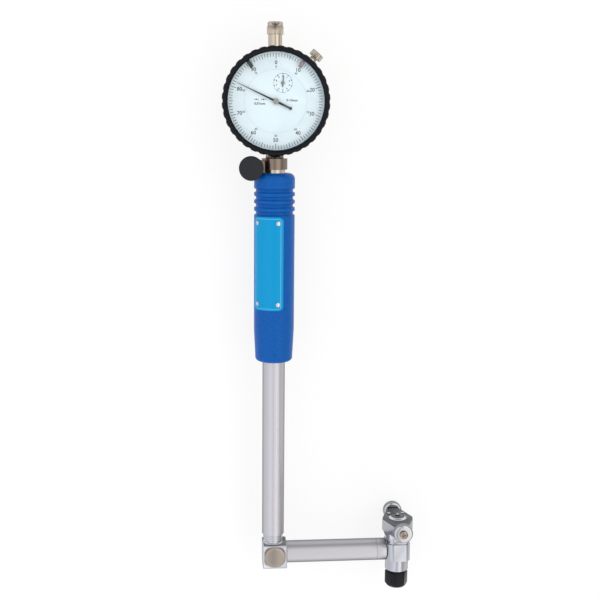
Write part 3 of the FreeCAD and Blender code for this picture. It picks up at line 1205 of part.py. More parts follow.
def revolution_pointer():
    """Small pointer that counts the turns of the main one."""
    low = SMALL_POINTER_Z
    tip = POINTER_TIP_HALF
    tail = SMALL_TAIL_HALF
    blade = prism([V(tail, 0, low), V(tip, SMALL_POINTER_LENGTH, low), V(-tip, SMALL_POINTER_LENGTH, low),
                   V(-tail, 0, low), V(-tail, -SMALL_POINTER_TAIL, low), V(tail, -SMALL_POINTER_TAIL, low)],
                  V(0, 0, SMALL_POINTER_THICKNESS))
    body = blade.fuse(rod(SMALL_HUB_R, SMALL_HUB_HEIGHT, V(0, 0, low), Z_AXIS))
    body.rotate(V(0, 0, 0), Z_AXIS, SMALL_POINTER_TURN)
    body.translate(DIAL_CENTRE + V(WHEEL_X, WHEEL_Y, 0))
    return body


NODES = {
    "corner_block": corner_block,
    "corner_plug": corner_plug,
    "corner_crank": corner_crank,
    "corner_crank_pin": corner_crank_pin,
    "main_tube": main_tube,
    "arm_tube": arm_tube,
    "arm_sleeve": arm_sleeve,
    "main_push_rod": main_push_rod,
    "arm_push_rod": arm_push_rod,
    "main_rod_guides": main_rod_guides,
    "arm_rod_guide": arm_rod_guide,
    "head_body": head_body,
    "head_crank": head_crank,
    "head_crank_pin": head_crank_pin,
    "contact_bush": contact_bush,
    "measuring_contact": measuring_contact,
    "contact_tip": contact_tip,
    "lock_nut": lock_nut,
    "centring_bridge": centring_bridge,
    "bridge_plate": bridge_plate,
    "bridge_plate_screws": bridge_plate_screws,
    "bridge_springs": bridge_springs,
    "roller_front": lambda: roller(1),
    "roller_rear": lambda: roller(-1),
    "roller_screw_front": lambda: roller_screw(1),
    "roller_screw_rear": lambda: roller_screw(-1),
    "handle_core": handle_core,
    "top_rod_guide": top_rod_guide,
    "grip": grip,
    "name_label": name_label,
    "label_screws": label_screws,
    "clamp_collar": clamp_collar,
    "clamp_knob": clamp_knob,
    "clamp_stud": clamp_stud,
    "dial_case": dial_case,
    "back_cover": back_cover,
    "back_cover_screws": back_cover_screws,
    "stem": stem,
    "cap_tube": cap_tube,
    "dust_cap": dust_cap,
    "bezel_lock_screw": bezel_lock_screw,
    "bezel_ring": bezel_ring,
    "dial_ring": dial_ring,
    "inner_dial": inner_dial,
    "crystal": crystal,
    "limit_marker_low": lambda: limit_marker(MARKER_LOW_TURN),
    "limit_marker_high": lambda: limit_marker(MARKER_HIGH_TURN),
    "rear_movement_plate": rear_movement_plate,
    "front_movement_plate": front_movement_plate,
    "movement_pillars": movement_pillars,
    "centre_bridge": centre_bridge,
    "spindle": spindle,
    "spindle_foot": spindle_foot,
    "rack_wheel": rack_wheel,
    "revolution_wheel": revolution_wheel,
    "centre_arbor": centre_arbor,
    "hairspring": hairspring,
    "main_pointer": main_pointer,
    "revolution_pointer": revolution_pointer,
}


def main():
    """Build every node, move it to the shared origin and write its STEP file."""
    os.makedirs("parts", exist_ok=True)
    for name, build in NODES.items():
        shape = build()
        shape.translate(ORIGIN_SHIFT)
        shape.exportStep("parts/" + name + ".step")
        print(name, shape.isValid(), len(shape.Solids), round(shape.Volume, 3))


main()
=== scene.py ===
"""Scene of the right-angle dial bore gauge: finishes, printed dial, fine detail, floor, light and camera.

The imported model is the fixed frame.  Each class dresses one sub-assembly of it, and main() builds
them in order, from the elbow to the dial.  Lengths in the classes are millimetres, turned to metres
where an object is made.
"""

import json
import logging
import math
from dataclasses import dataclass, field
from enum import Enum
from typing import Callable, Iterable, Sequence

import bmesh
import bpy
from mathutils import Matrix, Vector


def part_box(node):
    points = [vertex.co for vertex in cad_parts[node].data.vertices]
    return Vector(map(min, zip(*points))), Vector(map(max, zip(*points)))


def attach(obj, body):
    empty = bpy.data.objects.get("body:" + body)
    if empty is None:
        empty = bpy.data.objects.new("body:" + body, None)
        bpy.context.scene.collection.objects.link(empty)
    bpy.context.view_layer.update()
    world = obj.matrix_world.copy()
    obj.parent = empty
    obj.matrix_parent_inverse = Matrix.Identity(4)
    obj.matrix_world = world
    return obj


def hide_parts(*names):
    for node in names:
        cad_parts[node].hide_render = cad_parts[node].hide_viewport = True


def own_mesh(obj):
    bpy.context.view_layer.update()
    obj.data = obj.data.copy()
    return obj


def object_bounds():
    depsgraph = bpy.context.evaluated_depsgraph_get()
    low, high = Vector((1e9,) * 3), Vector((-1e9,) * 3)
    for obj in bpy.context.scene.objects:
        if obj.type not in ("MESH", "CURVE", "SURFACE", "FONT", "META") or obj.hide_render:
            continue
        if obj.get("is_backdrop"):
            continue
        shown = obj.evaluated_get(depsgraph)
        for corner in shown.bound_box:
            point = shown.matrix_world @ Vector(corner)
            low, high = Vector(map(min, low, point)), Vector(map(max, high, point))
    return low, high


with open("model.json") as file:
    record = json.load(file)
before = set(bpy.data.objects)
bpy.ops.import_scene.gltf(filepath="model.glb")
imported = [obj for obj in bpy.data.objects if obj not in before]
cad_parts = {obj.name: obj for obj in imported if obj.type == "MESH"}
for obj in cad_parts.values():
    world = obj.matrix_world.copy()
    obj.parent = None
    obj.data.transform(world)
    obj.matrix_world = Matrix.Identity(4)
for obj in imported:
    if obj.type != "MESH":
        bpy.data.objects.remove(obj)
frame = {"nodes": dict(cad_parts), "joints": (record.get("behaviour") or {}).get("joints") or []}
LOG = logging.getLogger("bore_gauge")
MM = 0.001
INK_LIFT = 0.02
# How far roughness strays from its mean, as a share of it.
METAL_SPREAD = 0.18
COATED_SPREAD = 0.12
# Height of tool marks in millimetres, and share of the radius over which a turned face changes tone.
MARK_HEIGHT = 0.02
TONE_EDGE = 0.04
# Least share of a face's normal that points to a side for the face to look that way.
FACE_UP = 0.1
FACE_FLAT = 0.9
# Roughness of the clear coat over paint, and of clear acrylic.
COAT_ROUGHNESS = 0.15
ACRYLIC_ROUGHNESS = 0.04
# Share of the grain's height that shows on a coated surface and on rubber.
COATED_RELIEF = 0.6
RUBBER_RELIEF = 0.5


# ---------------------------------------------------------------- small tools
def linear(code: str) -> tuple[float, float, float, float]:
    """Turn an sRGB hex colour into linear values.

    Args:
        code: six hex digits after a hash.
    Returns:
        Linear red, green, blue and an alpha of one.
    """
    channels = []
    for start in (1, 3, 5):
        value = int(code[start:start + 2], 16) / 255
        channels.append(value / 12.92 if value <= 0.04045 else ((value + 0.055) / 1.055) ** 2.4)
    return (channels[0], channels[1], channels[2], 1.0)


def add_node(tree: bpy.types.NodeTree, kind: str, inputs: dict | None = None, **settings) -> bpy.types.Node:
    """Add one node, set it up and wire it.

    Args:
        tree: tree the node goes into.
        kind: the node's type name.
        inputs: socket name or number against a value, a socket, or a node whose first output is meant.
        settings: the node's own properties.
    Returns:
        The new node.
    """
    node = tree.nodes.new(kind)
    for name, value in settings.items():
        setattr(node, name, value)
    for key, value in (inputs or {}).items():
        if isinstance(value, bpy.types.Node):
            value = value.outputs[0]
        if isinstance(value, bpy.types.NodeSocket):
            tree.links.new(value, node.inputs[key])
        else:
            node.inputs[key].default_value = value
    return node


def metres(x: float, y: float, z: float) -> Vector:
    """Turn millimetres into a vector in metres.

    Args:
        x, y, z: millimetres in the row frame.
    Returns:
        The same place in metres.
    """
    return Vector((x, y, z)) * MM


def centre_of(node: str) -> Vector:
    """Find the middle of a CAD node's box.

    Args:
        node: the node's name.
    Returns:
        The middle, in millimetres.
    """
    low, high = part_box(node)
    return (Vector(low) + Vector(high)) / 2 / MM


def link_object(name: str, mesh: bpy.types.Mesh) -> bpy.types.Object:
    """Show a mesh as an object at the origin.

    Args:
        name: piece name.
        mesh: its mesh, already in place.
    Returns:
        The object.
    """
    piece = bpy.data.objects.new(name, mesh)
    bpy.context.scene.collection.objects.link(piece)
    return piece


def tidy_mesh(mesh: bpy.types.Mesh, angle: float, merge: float = 0.001) -> None:
    """Close seams, face the surface outwards and smooth it up to an angle.

    Args:
        mesh: mesh to tidy.
        angle: edges sharper than this many degrees stay crisp.
        merge: points nearer than this, in millimetres, become one.
    """
    work = bmesh.new()
    work.from_mesh(mesh)
    bmesh.ops.remove_doubles(work, verts=work.verts, dist=merge * MM)
    bmesh.ops.recalc_face_normals(work, faces=work.faces)
    for face in work.faces:
        face.smooth = True
    work.to_mesh(mesh)
    work.free()
    mesh.set_sharp_from_angle(angle=math.radians(angle))


def frozen_mesh(piece: bpy.types.Object, name: str) -> bpy.types.Mesh:
    """Make a plain mesh of what a curve, text or modifier stack shows.

    Args:
        piece: object to read; it is removed afterwards.
        name: name of the new mesh.
    Returns:
        The plain mesh.
    """
    graph = bpy.context.evaluated_depsgraph_get()
    mesh = bpy.data.meshes.new_from_object(piece.evaluated_get(graph), depsgraph=graph)
    mesh.name = name
    bpy.data.objects.remove(piece)
    return mesh


def join_meshes(name: str, meshes: Iterable[bpy.types.Mesh]) -> bpy.types.Mesh:
    """Put several meshes into one.

    Args:
        name: name of the joined mesh.
        meshes: meshes already in place.
    Returns:
        The joined mesh.
    """
    work = bmesh.new()
    for mesh in meshes:
        work.from_mesh(mesh)
    joined = bpy.data.meshes.new(name)
    work.to_mesh(joined)
    work.free()
    return joined


def along(axis: Vector, start: Vector, up: Vector = Vector((0, 0, 1))) -> Matrix:
    """Place something drawn about +Z along another axis.

    Args:
        axis: direction that +Z turns to.
        start: where the origin goes, in metres.
        up: direction that helps to fix the turn about the axis.
    Returns:
        The placing matrix.
    """
    z = axis.normalized()
    x = up.cross(z)
    if x.length < 1e-6:
        x = Vector((1, 0, 0)).cross(z)
    if x.length < 1e-6:
        x = Vector((1, 0, 0))
    x.normalize()
    y = z.cross(x)
    turn = Matrix((x, y, z)).transposed().to_4x4()
    return Matrix.Translation(start) @ turn


# ---------------------------------------------------------------- finishes
def new_material(name: str) -> tuple:
    """Start a node material.

    Args:
        name: material name.
    Returns:
        The material, its tree and its main shader.
    """
    material = bpy.data.materials.new(name)
    material.use_nodes = True
    tree = material.node_tree
    return material, tree, tree.nodes["Principled BSDF"]


def spread_roughness(tree: bpy.types.NodeTree, source: bpy.types.Node | bpy.types.NodeSocket, mean: float,
                     spread: float) -> None:
    """Let a pattern vary the main shader's roughness.

    Args:
        tree: material tree.
        source: pattern between 0 and 1.
        mean: mean roughness.
        spread: how far it strays, as a share; below zero where the pattern's high spots are smoother.
    """
    worn = add_node(tree, "ShaderNodeMapRange", {"Value": source, "To Min": mean * (1 - spread),
                                                 "To Max": mean * (1 + spread)})
    tree.links.new(worn.outputs[0], tree.nodes["Principled BSDF"].inputs["Roughness"])


def raise_surface(tree: bpy.types.NodeTree, source: bpy.types.Node | bpy.types.NodeSocket, strength: float,
                  height: float) -> None:
    """Let a pattern raise the surface a little.

    Args:
        tree: material tree.
        source: pattern between 0 and 1.
        strength: share of the full height that shows.
        height: full height, in millimetres.
    """
    bump = add_node(tree, "ShaderNodeBump", {"Strength": strength, "Distance": height * MM, "Height": source})
    tree.links.new(bump.outputs[0], tree.nodes["Principled BSDF"].inputs["Normal"])


class Lay(Enum):
    """Direction of the marks that machining leaves."""

    TURNED_X = "X"
    TURNED_Y = "Y"
    TURNED_Z = "Z"
    GROUND = "ground"


@dataclass(frozen=True)
class Metal:
    """Bare or plated metal whose rim is painted darker as it turns away, a painted reflection of dark
    surroundings.

    Args:
        name: material name.
        colour: colour seen face on.
        edge: painted shade colour at grazing view.
        roughness: mean roughness.
        lay: direction of the tool marks.
        centre: point on the turning axis, in millimetres.
        mark: spacing of the tool marks, in millimetres.
        depth: strength of the tool marks.
        rim: facing value where the painted rim shade starts.
        inner: colour of a turned face's middle, or nothing for one colour.
        inner_radius: radius of that middle, in millimetres.
    """

    name: str
    colour: str
    edge: str
    roughness: float
    lay: Lay = Lay.GROUND
    centre: tuple[float, float, float] = (0.0, 0.0, 0.0)
    mark: float = 0.12
    depth: float = 0.12
    rim: float = 0.45
    inner: str = ""
    inner_radius: float = 0.0

    def build(self) -> bpy.types.Material:
        """Make the material.

        Returns:
            The finished material.
        """
        material, tree, shader = new_material(self.name)
        shader.inputs["Metallic"].default_value = 1.0
        # Painted reflection: the colour turns to the edge colour towards grazing view, standing for dark
        # surroundings mirrored in the rim.
        weight = add_node(tree, "ShaderNodeLayerWeight", {"Blend": 0.5})
        rim = add_node(tree, "ShaderNodeMapRange", {"Value": weight.outputs["Facing"], "From Min": self.rim,
                                                    "From Max": 1.0}, interpolation_type="SMOOTHSTEP")
        tint = add_node(tree, "ShaderNodeMix", {0: rim, 6: linear(self.colour), 7: linear(self.edge)},
                        data_type="RGBA")
        if self.inner:
            tree.links.new(self.two_tone(tree), tint.inputs[6])
        tree.links.new(tint.outputs[2], shader.inputs["Base Color"])
        marks = tool_marks(tree, self.lay, self.centre, self.mark)
        spread_roughness(tree, marks, self.roughness, METAL_SPREAD)
        raise_surface(tree, marks, self.depth, MARK_HEIGHT)
        return material

    def two_tone(self, tree: bpy.types.NodeTree) -> bpy.types.NodeSocket:
        """Tint the middle of a turned face apart from its rim.

        Args:
            tree: material tree.
        Returns:
            The colour socket.
        """
        radius, _ = turned_place(tree, self.lay, self.centre)
        outside = add_node(tree, "ShaderNodeMapRange", {
            "Value": radius, "From Min": self.inner_radius * MM * (1 - TONE_EDGE),
            "From Max": self.inner_radius * MM * (1 + TONE_EDGE)})
        blend = add_node(tree, "ShaderNodeMix", {0: outside, 6: linear(self.inner), 7: linear(self.colour)},
                         data_type="RGBA")
        return blend.outputs[2]


def turned_place(tree: bpy.types.NodeTree, lay: Lay, centre: Sequence[float]) -> tuple:
    """Find how far a point is from a turning axis, and how far along it.

    Args:
        tree: material tree.
        lay: direction of the axis.
        centre: point on the axis, in millimetres.
    Returns:
        The radius and the distance along the axis, as sockets in metres.
    """
    place = add_node(tree, "ShaderNodeTexCoord")
    shift = tuple(-value * MM for value in centre)
    local = add_node(tree, "ShaderNodeMapping", {"Vector": place.outputs["Object"], "Location": shift})
    parts = add_node(tree, "ShaderNodeSeparateXYZ", {0: local})
    across = {letter: 0.0 if letter == lay.value else parts.outputs[letter] for letter in "XYZ"}
    flat = add_node(tree, "ShaderNodeCombineXYZ", across)
    radius = add_node(tree, "ShaderNodeVectorMath", {0: flat}, operation="LENGTH")
    return radius.outputs["Value"], parts.outputs[lay.value]


def tool_marks(tree: bpy.types.NodeTree, lay: Lay, centre: Sequence[float],
               mark: float) -> bpy.types.NodeSocket:
    """Draw the fine lines of machining, as a height between 0 and 1.

    Args:
        tree: material tree.
        lay: direction of the marks.
        centre: point on the turning axis, in millimetres.
        mark: spacing of the marks, in millimetres.
    Returns:
        The height socket.
    """
    if lay is Lay.GROUND:
        pattern = add_node(tree, "ShaderNodeTexCoord").outputs["Object"]
    else:
        radius, along_axis = turned_place(tree, lay, centre)
        pattern = add_node(tree, "ShaderNodeCombineXYZ", {"X": radius, "Y": along_axis})
    noise = add_node(tree, "ShaderNodeTexNoise", {"Vector": pattern, "Scale": 1 / (mark * MM), "Detail": 3.0})
    return noise.outputs[0]


@dataclass(frozen=True)
class Coated:
    """Paint, plastic, rubber or ink: a coloured non-metal with a grained surface.

    Args:
        name: material name.
        colour: main colour.
        shade: colour in the low spots of the grain.
        roughness: mean roughness.
        grain: size of the grain, in millimetres.
        depth: height of the grain, in millimetres.
        coat: strength of the clear top coat.
        shine: level of the plain surface reflection.
    """

    name: str
    colour: str
    shade: str
    roughness: float
    grain: float = 0.3
    depth: float = 0.01
    coat: float = 0.0
    shine: float = 0.5

    def build(self) -> bpy.types.Material:
        """Make the material.

        Returns:
            The finished material.
        """
        material, tree, shader = new_material(self.name)
        shader.inputs["Specular IOR Level"].default_value = self.shine
        shader.inputs["Coat Weight"].default_value = self.coat
        shader.inputs["Coat Roughness"].default_value = COAT_ROUGHNESS
        place = add_node(tree, "ShaderNodeTexCoord")
        noise = add_node(tree, "ShaderNodeTexNoise", {"Vector": place.outputs["Object"],
                                                      "Scale": 1 / (self.grain * MM), "Detail": 3.0})
        low = add_node(tree, "ShaderNodeMapRange", {"Value": noise, "From Min": 0.35, "From Max": 0.65})
        tint = add_node(tree, "ShaderNodeMix", {0: low, 6: linear(self.shade), 7: linear(self.colour)},
                        data_type="RGBA")
        tree.links.new(tint.outputs[2], shader.inputs["Base Color"])
        spread_roughness(tree, noise, self.roughness, -COATED_SPREAD)
        raise_surface(tree, noise, COATED_RELIEF, self.depth)
        return material


@dataclass(frozen=True)
class GrainedRubber:
    """Moulded rubber with a leather grain and painted shade in its grooves.

    Args:
        name: material name.
        colour: main colour.
        groove: painted shade colour down in the finger grooves.
        roughness: mean roughness.
        cell: size of a grain cell, in millimetres.
        depth: height of the grain, in millimetres.
        attribute: vertex value that is one at the bottom of a groove.
        shine: level of the plain surface reflection.
        stray: how far the grain's cells stray, as a share of their size.
    """

    name: str
    colour: str
    groove: str
    roughness: float
    cell: float
    depth: float
    attribute: str
    shine: float = 0.14
    stray: float = 0.9

    def build(self) -> bpy.types.Material:
        """Make the material.

        Returns:
            The finished material.
        """
        material, tree, shader = new_material(self.name)
        shader.inputs["Specular IOR Level"].default_value = self.shine
        place = add_node(tree, "ShaderNodeTexCoord")
        wander = add_node(tree, "ShaderNodeTexNoise", {"Vector": place.outputs["Object"],
                                                       "Scale": 0.6 / (self.cell * MM), "Detail": 2.0})
        reach = self.cell * MM * self.stray
        pull = add_node(tree, "ShaderNodeVectorMath", {0: wander.outputs["Color"], 1: (reach, reach, reach)},
                        operation="MULTIPLY")
        bent = add_node(tree, "ShaderNodeVectorMath", {0: place.outputs["Object"], 1: pull}, operation="ADD")
        cells = add_node(tree, "ShaderNodeTexVoronoi", {"Vector": bent, "Scale": 1 / (self.cell * MM)},
                         feature="SMOOTH_F1")
        hills = add_node(tree, "ShaderNodeMapRange", {"Value": cells.outputs["Distance"], "From Min": 0.15,
                                                      "From Max": 0.75, "To Min": 1.0, "To Max": 0.0})
        # Painted shade: the colour turns to the groove colour as the groove deepens.
        down = add_node(tree, "ShaderNodeAttribute", attribute_name=self.attribute)
        groove_painted_shade = add_node(tree, "ShaderNodeMix", {0: down.outputs["Fac"], 6: linear(self.colour),
                                                7: linear(self.groove)}, data_type="RGBA")
        dim = add_node(tree, "ShaderNodeMapRange", {"Value": hills, "To Min": 0.78, "To Max": 1.12})
        tint = add_node(tree, "ShaderNodeMix", {0: 1.0, 6: groove_painted_shade.outputs[2], 7: dim}, data_type="RGBA",
                        blend_type="MULTIPLY")
        tree.links.new(tint.outputs[2], shader.inputs["Base Color"])
        spread_roughness(tree, hills, self.roughness, -COATED_SPREAD)
        raise_surface(tree, hills, RUBBER_RELIEF, self.depth)
        return material


@dataclass(frozen=True)
class Crystal:
    """Thin clear acrylic: light passes straight through and the sky shows a little at an angle.

    Args:
        name: material name.
        tint: colour of what passes through.
        index: index of refraction for the reflection.
    """

    name: str
    tint: str
    index: float

    def build(self) -> bpy.types.Material:
        """Make the material.

        Returns:
            The finished material.
        """
        material, tree, shader = new_material(self.name)
        tree.nodes.remove(shader)
        clear = add_node(tree, "ShaderNodeBsdfTransparent", {"Color": linear(self.tint)})
        shine = add_node(tree, "ShaderNodeBsdfGlossy", {"Roughness": ACRYLIC_ROUGHNESS})
        fresnel = add_node(tree, "ShaderNodeFresnel", {"IOR": self.index})
        side = add_node(tree, "ShaderNodeNewGeometry")
        front = add_node(tree, "ShaderNodeMath", {0: 1.0, 1: side.outputs["Backfacing"]},
                         operation="SUBTRACT")
        share = add_node(tree, "ShaderNodeMath", {0: fresnel, 1: front}, operation="MULTIPLY")
        mixed = add_node(tree, "ShaderNodeMixShader", {0: share, 1: clear, 2: shine})
        tree.links.new(mixed.outputs[0], tree.nodes["Material Output"].inputs["Surface"])
        return material


class Finishes:
    """Every material of the gauge, made once and shared."""

    def __init__(self) -> None:
        """Make every material."""
        handle = (-73.7, 20.6, 0.0)
        plug = (-72.8, 20.1, 0.0)
        dial = tuple(centre_of("dial_ring"))
        head = (0.0, 37.4, 0.0)
        # Each metal's second colour is a painted shade that its rim takes towards grazing view.
        # Satin clear-anodised aluminium: soft broad reflections, with painted shade where the tube turns
        # away.
        self.tube = Metal("satin_anodised_aluminium_tube", "#BDBDC2", "#5A5A5F", 0.42, Lay.TURNED_Y, handle,
                          rim=0.35).build()
        self.arm = Metal("satin_anodised_aluminium_arm", "#BDBDC2", "#47484C", 0.42, Lay.TURNED_X, handle,
                         rim=0.2).build()
        # Ground aluminium block: flat matt faces with a faint cloudy grain.
        self.block = Metal("ground_aluminium", "#BFC2C7", "#5E5E64", 0.36, mark=0.25, rim=0.7).build()
        # End face of the block towards +Y, painted darker than its ground sides: painted shade for the dark
        # reflection it shows.
        self.block_top_painted_shade = Metal("aluminium_top_painted_shade", "#6F7176", "#3A3B3F", 0.36, mark=0.25, rim=0.6).build()
        # Satin chrome of the head: greyer and smoother than the block.
        self.head = Metal("satin_chrome_plate", "#B0B3BB", "#55565C", 0.25, mark=0.3, depth=0.06,
                          rim=0.6).build()
        # Faced steel disc: fine rings, a tan rim and a greyer middle.
        self.plug = Metal("faced_steel_disc", "#A0938A", "#7E7468", 0.4, Lay.TURNED_Z, plug, 0.35, 0.35,
                          inner="#928B84", inner_radius=4.6).build()
        # Hardened and polished chrome steel: crisp bright and dark reflections, with a painted dark
        # reflection at the rim.
        self.chrome = Metal("polished_chrome_steel", "#B6B8BB", "#242426", 0.08, Lay.TURNED_Z, head, 0.3,
                            0.04, rim=0.05).build()
        # Bright nickel: warm mirror tone.
        self.nickel = Metal("polished_nickel", "#BDB3A4", "#5E574E", 0.1, Lay.TURNED_Y, dial, 0.3,
                            0.05).build()
        # Satin nickel: warm, softly brushed.
        self.satin_nickel = Metal("satin_nickel", "#BBB3A7", "#6E685F", 0.26, Lay.TURNED_Z, dial, 0.2,
                                  0.1).build()
        # Browned steel of the roller screws.
        self.browned = Metal("browned_steel", "#93867C", "#3E352D", 0.2, Lay.TURNED_Z, head, 0.2, 0.1).build()
        # Brushed bronze-toned steel of the clamp.
        self.clamp = Metal("brushed_bronze_toned_steel", "#7D7166", "#3A332C", 0.26, Lay.TURNED_Y,
                           handle).build()
        # Bevel round the wear plate's boss, painted bright: a painted highlight.
        self.bright_steel = Metal("boss_bevel_painted_highlight", "#D5D8DC", "#8A8C90", 0.24, mark=0.2).build()
        # Blackened steel: dark with a low sheen.
        self.black_steel = Metal("blackened_steel", "#26272A", "#101112", 0.3, mark=0.2).build()
        # Dark satin steel of the bridge plate.
        self.dark_steel = Metal("dark_satin_steel", "#5C5E63", "#2C2D31", 0.28, mark=0.2).build()
        # Matt black moulded plastic.
        self.black_plastic = Coated("black_abs_plastic", "#25272B", "#1F2124", 0.5, 0.25, 0.01,
                                    shine=0.2).build()
        # Glossier black plastic of the bezel's grip ring.
        self.bezel_black = Coated("black_bezel_plastic", "#0D0F12", "#090A0C", 0.34, 0.5, 0.004,
                                  shine=0.15).build()
        # Slate satin paint on the bezel's inner slope.
        self.bezel_slope = Coated("slate_satin_paint", "#0E161F", "#0B121A", 0.34, 0.5, 0.003,
                                  shine=0.12).build()
        # Leather-grained blue rubber, with painted shade down in the grooves.
        self.rubber = GrainedRubber("leather_grained_rubber", "#0355A4", "#0A1F5E", 0.36, 0.6, 0.12,
                                    "groove").build()
        # Cyan painted aluminium label.
        self.label = Coated("cyan_painted_aluminium", "#0092C8", "#008CC2", 0.3, 0.6, 0.003,
                            shine=0.15).build()
        # Lighter cyan line just inside the label's edge.
        self.label_line = Coated("pale_cyan_border_line", "#5FC0E8", "#59BAE2", 0.4, 0.6, 0.001, shine=0.3).build()
        # Pale blue-white enamel of the dial.
        self.dial = Coated("matt_white_enamel", "#E4F0F6", "#E2EEF5", 0.6, 2.0, 0.001).build()
        # Printing inks: black, grey, and one hardly darker than the enamel.
        self.ink = Coated("black_dial_ink", "#1C262E", "#182128", 0.6, 0.4, 0.001).build()
        self.fine_ink = Coated("grey_dial_ink", "#5A6872", "#55626C", 0.6, 0.4, 0.001).build()
        self.pale_ink = Coated("pale_dial_ink", "#CDDCE6", "#C9D8E2", 0.6, 0.4, 0.001).build()
        # Blued steel pointers with brown-grey satin hubs.
        self.pointer = Coated("blued_steel_paint", "#16222F", "#131D29", 0.32, 0.4, 0.002, 0.3).build()
        self.hub = Coated("brown_grey_hub_enamel", "#978C88", "#91867F", 0.34, 0.3, 0.002, 0.3).build()
        # Moulded limit markers, one black and one rose grey.
        self.marker_dark = Coated("black_marker_plastic", "#121316", "#0F1013", 0.4, 0.3, 0.004).build()
        self.marker_light = Coated("rose_grey_marker_plastic", "#94868D", "#8E8087", 0.4, 0.3, 0.004).build()
        # Clear acrylic front.
        self.crystal = Crystal("clear_acrylic", "#FDFFFF", 1.45).build()
        # Movement brass and plain bright steel.
        self.brass = Metal("satin_brass", "#C9A35E", "#7C6134", 0.3).build()
        self.steel = Metal("bright_steel", "#C4C6C9", "#6E6F73", 0.2).build()


# ---------------------------------------------------------------- shared builders
@dataclass
class Skin:
    """A smooth, closed copy of one CAD node that stands for it.

    Args:
        node: the CAD node's name.
        body: the body it rides on.
        material: its finish.
        slot: the record's material slot; not used.
        angle: edges sharper than this many degrees stay crisp.
        bevel: width of the softened edges, in millimetres, or none at zero.
        flat: whether the big faces are flat, so that a softened edge never shades them.
    """

    node: str
    body: str
    material: bpy.types.Material
    slot: str
    angle: float = 30.0
    bevel: float = 0.0
    flat: bool = True

    def build(self, nodes: dict) -> bpy.types.Object:
        """Make the copy and hand it to its body.

        Args:
            nodes: the frame's node objects.
        Returns:
            The new piece.
        """
        mesh = nodes[self.node].data.copy()
        mesh.name = self.node + "_skin"
        mesh.materials.clear()
        mesh.materials.append(self.material)
        for face in mesh.polygons:
            face.material_index = 0
        tidy_mesh(mesh, self.angle)
        piece = link_object(self.node + "_skin", mesh)
        if self.bevel:
            edge = piece.modifiers.new("soft_edge", "BEVEL")
            edge.width = self.bevel * MM
            edge.segments = 2
            edge.limit_method = "ANGLE"
            edge.angle_limit = math.radians(self.angle)
            edge.harden_normals = self.flat
            edge.use_clamp_overlap = True
        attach(piece, self.body)
        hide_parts(self.node)
        LOG.info("%s: %d faces", piece.name, len(mesh.polygons))
        return piece


def paint_where(piece: bpy.types.Object, material: bpy.types.Material,
                chosen: Callable[[Vector, Vector], bool]) -> None:
    """Give a second finish to some faces of a piece.

    Args:
        piece: piece to paint.
        material: the second finish.
        chosen: says from a face's middle, in millimetres, and its normal whether it is painted.
    """
    piece.data.materials.append(material)
    for face in piece.data.polygons:
        if chosen(face.center / MM, face.normal):
            face.material_index = 1


@dataclass
class Lettering:
    """Words or numbers turned into flat ink.

    Args:
        weight: how much each stroke is fattened, in millimetres.
        pieces: meshes gathered so far.
    """

    weight: float = 0.045
    pieces: list = field(default_factory=list)

    def write(self, text: str, height: float, middle: Vector, turn: float = 0.0) -> None:
        """Add one word, centred on a point.

        Args:
            text: what it says.
            height: height of a digit, in millimetres.
            middle: its middle, in millimetres.
            turn: turn about Z, in radians.
        """
        curve = bpy.data.curves.new("word", "FONT")
        curve.body = text
        curve.size = height * 1.38
        curve.align_x = "CENTER"
        curve.align_y = "CENTER"
        curve.resolution_u = 3
        curve.offset = self.weight
        word = link_object("word", curve)
        mesh = frozen_mesh(word, "word")
        points = [vertex.co for vertex in mesh.vertices]
        low = min(point.y for point in points)
        high = max(point.y for point in points)
        left = min(point.x for point in points)
        right = max(point.x for point in points)
        mesh.transform(Matrix.Translation((-(left + right) / 2, -(low + high) / 2, 0)))
        mesh.transform(Matrix.Scale(MM, 4))
        mesh.transform(Matrix.Translation(middle * MM) @ Matrix.Rotation(turn, 4, "Z"))
        self.pieces.append(mesh)

    def shape(self, outline: Sequence[tuple[float, float]], z: float) -> None:
        """Add one flat filled shape.

        Args:
            outline: its corners in order, in millimetres.
            z: height above the row's XY plane, in millimetres.
        """
        mesh = bpy.data.meshes.new("mark")
        corners = [tuple(metres(x, y, z)) for x, y in outline]
        mesh.from_pydata(corners, [], [tuple(range(len(corners)))])
        self.pieces.append(mesh)

    def ring(self, middle: Vector, inner: float, outer: float, steps: int = 96) -> None:
        """Add one flat ring, or a disc where the inner radius is zero.

        Args:
            middle: its middle, in millimetres.
            inner: inner radius, in millimetres.
            outer: outer radius, in millimetres.
            steps: number of straight steps round it.
        """
        points = []
        faces = []
        for step in range(steps):
            angle = math.tau * step / steps
            for radius in (inner, outer):
                points.append(tuple(metres(middle.x + radius * math.cos(angle),
                                           middle.y + radius * math.sin(angle), middle.z)))
            after = (step + 1) % steps
            faces.append((2 * step, 2 * step + 1, 2 * after + 1, 2 * after))
        mesh = bpy.data.meshes.new("ring")
        mesh.from_pydata(points, [], faces)
        self.pieces.append(mesh)

    def finish(self, name: str, material: bpy.types.Material, body: str) -> bpy.types.Object:
        """Join the ink into one piece.

        Args:
            name: piece name.
            material: the ink.
            body: body it rides on.
        Returns:
            The piece.
        """
        mesh = join_meshes(name, self.pieces)
        mesh.materials.append(material)
        work = bmesh.new()
        work.from_mesh(mesh)
        bmesh.ops.remove_doubles(work, verts=work.verts, dist=1e-7)
        for face in work.faces:
            if face.normal.z < 0:
                face.normal_flip()
        work.to_mesh(mesh)
        work.free()
        piece = link_object(name, mesh)
        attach(piece, body)
        LOG.info("%s: %d faces", name, len(mesh.polygons))
        return piece


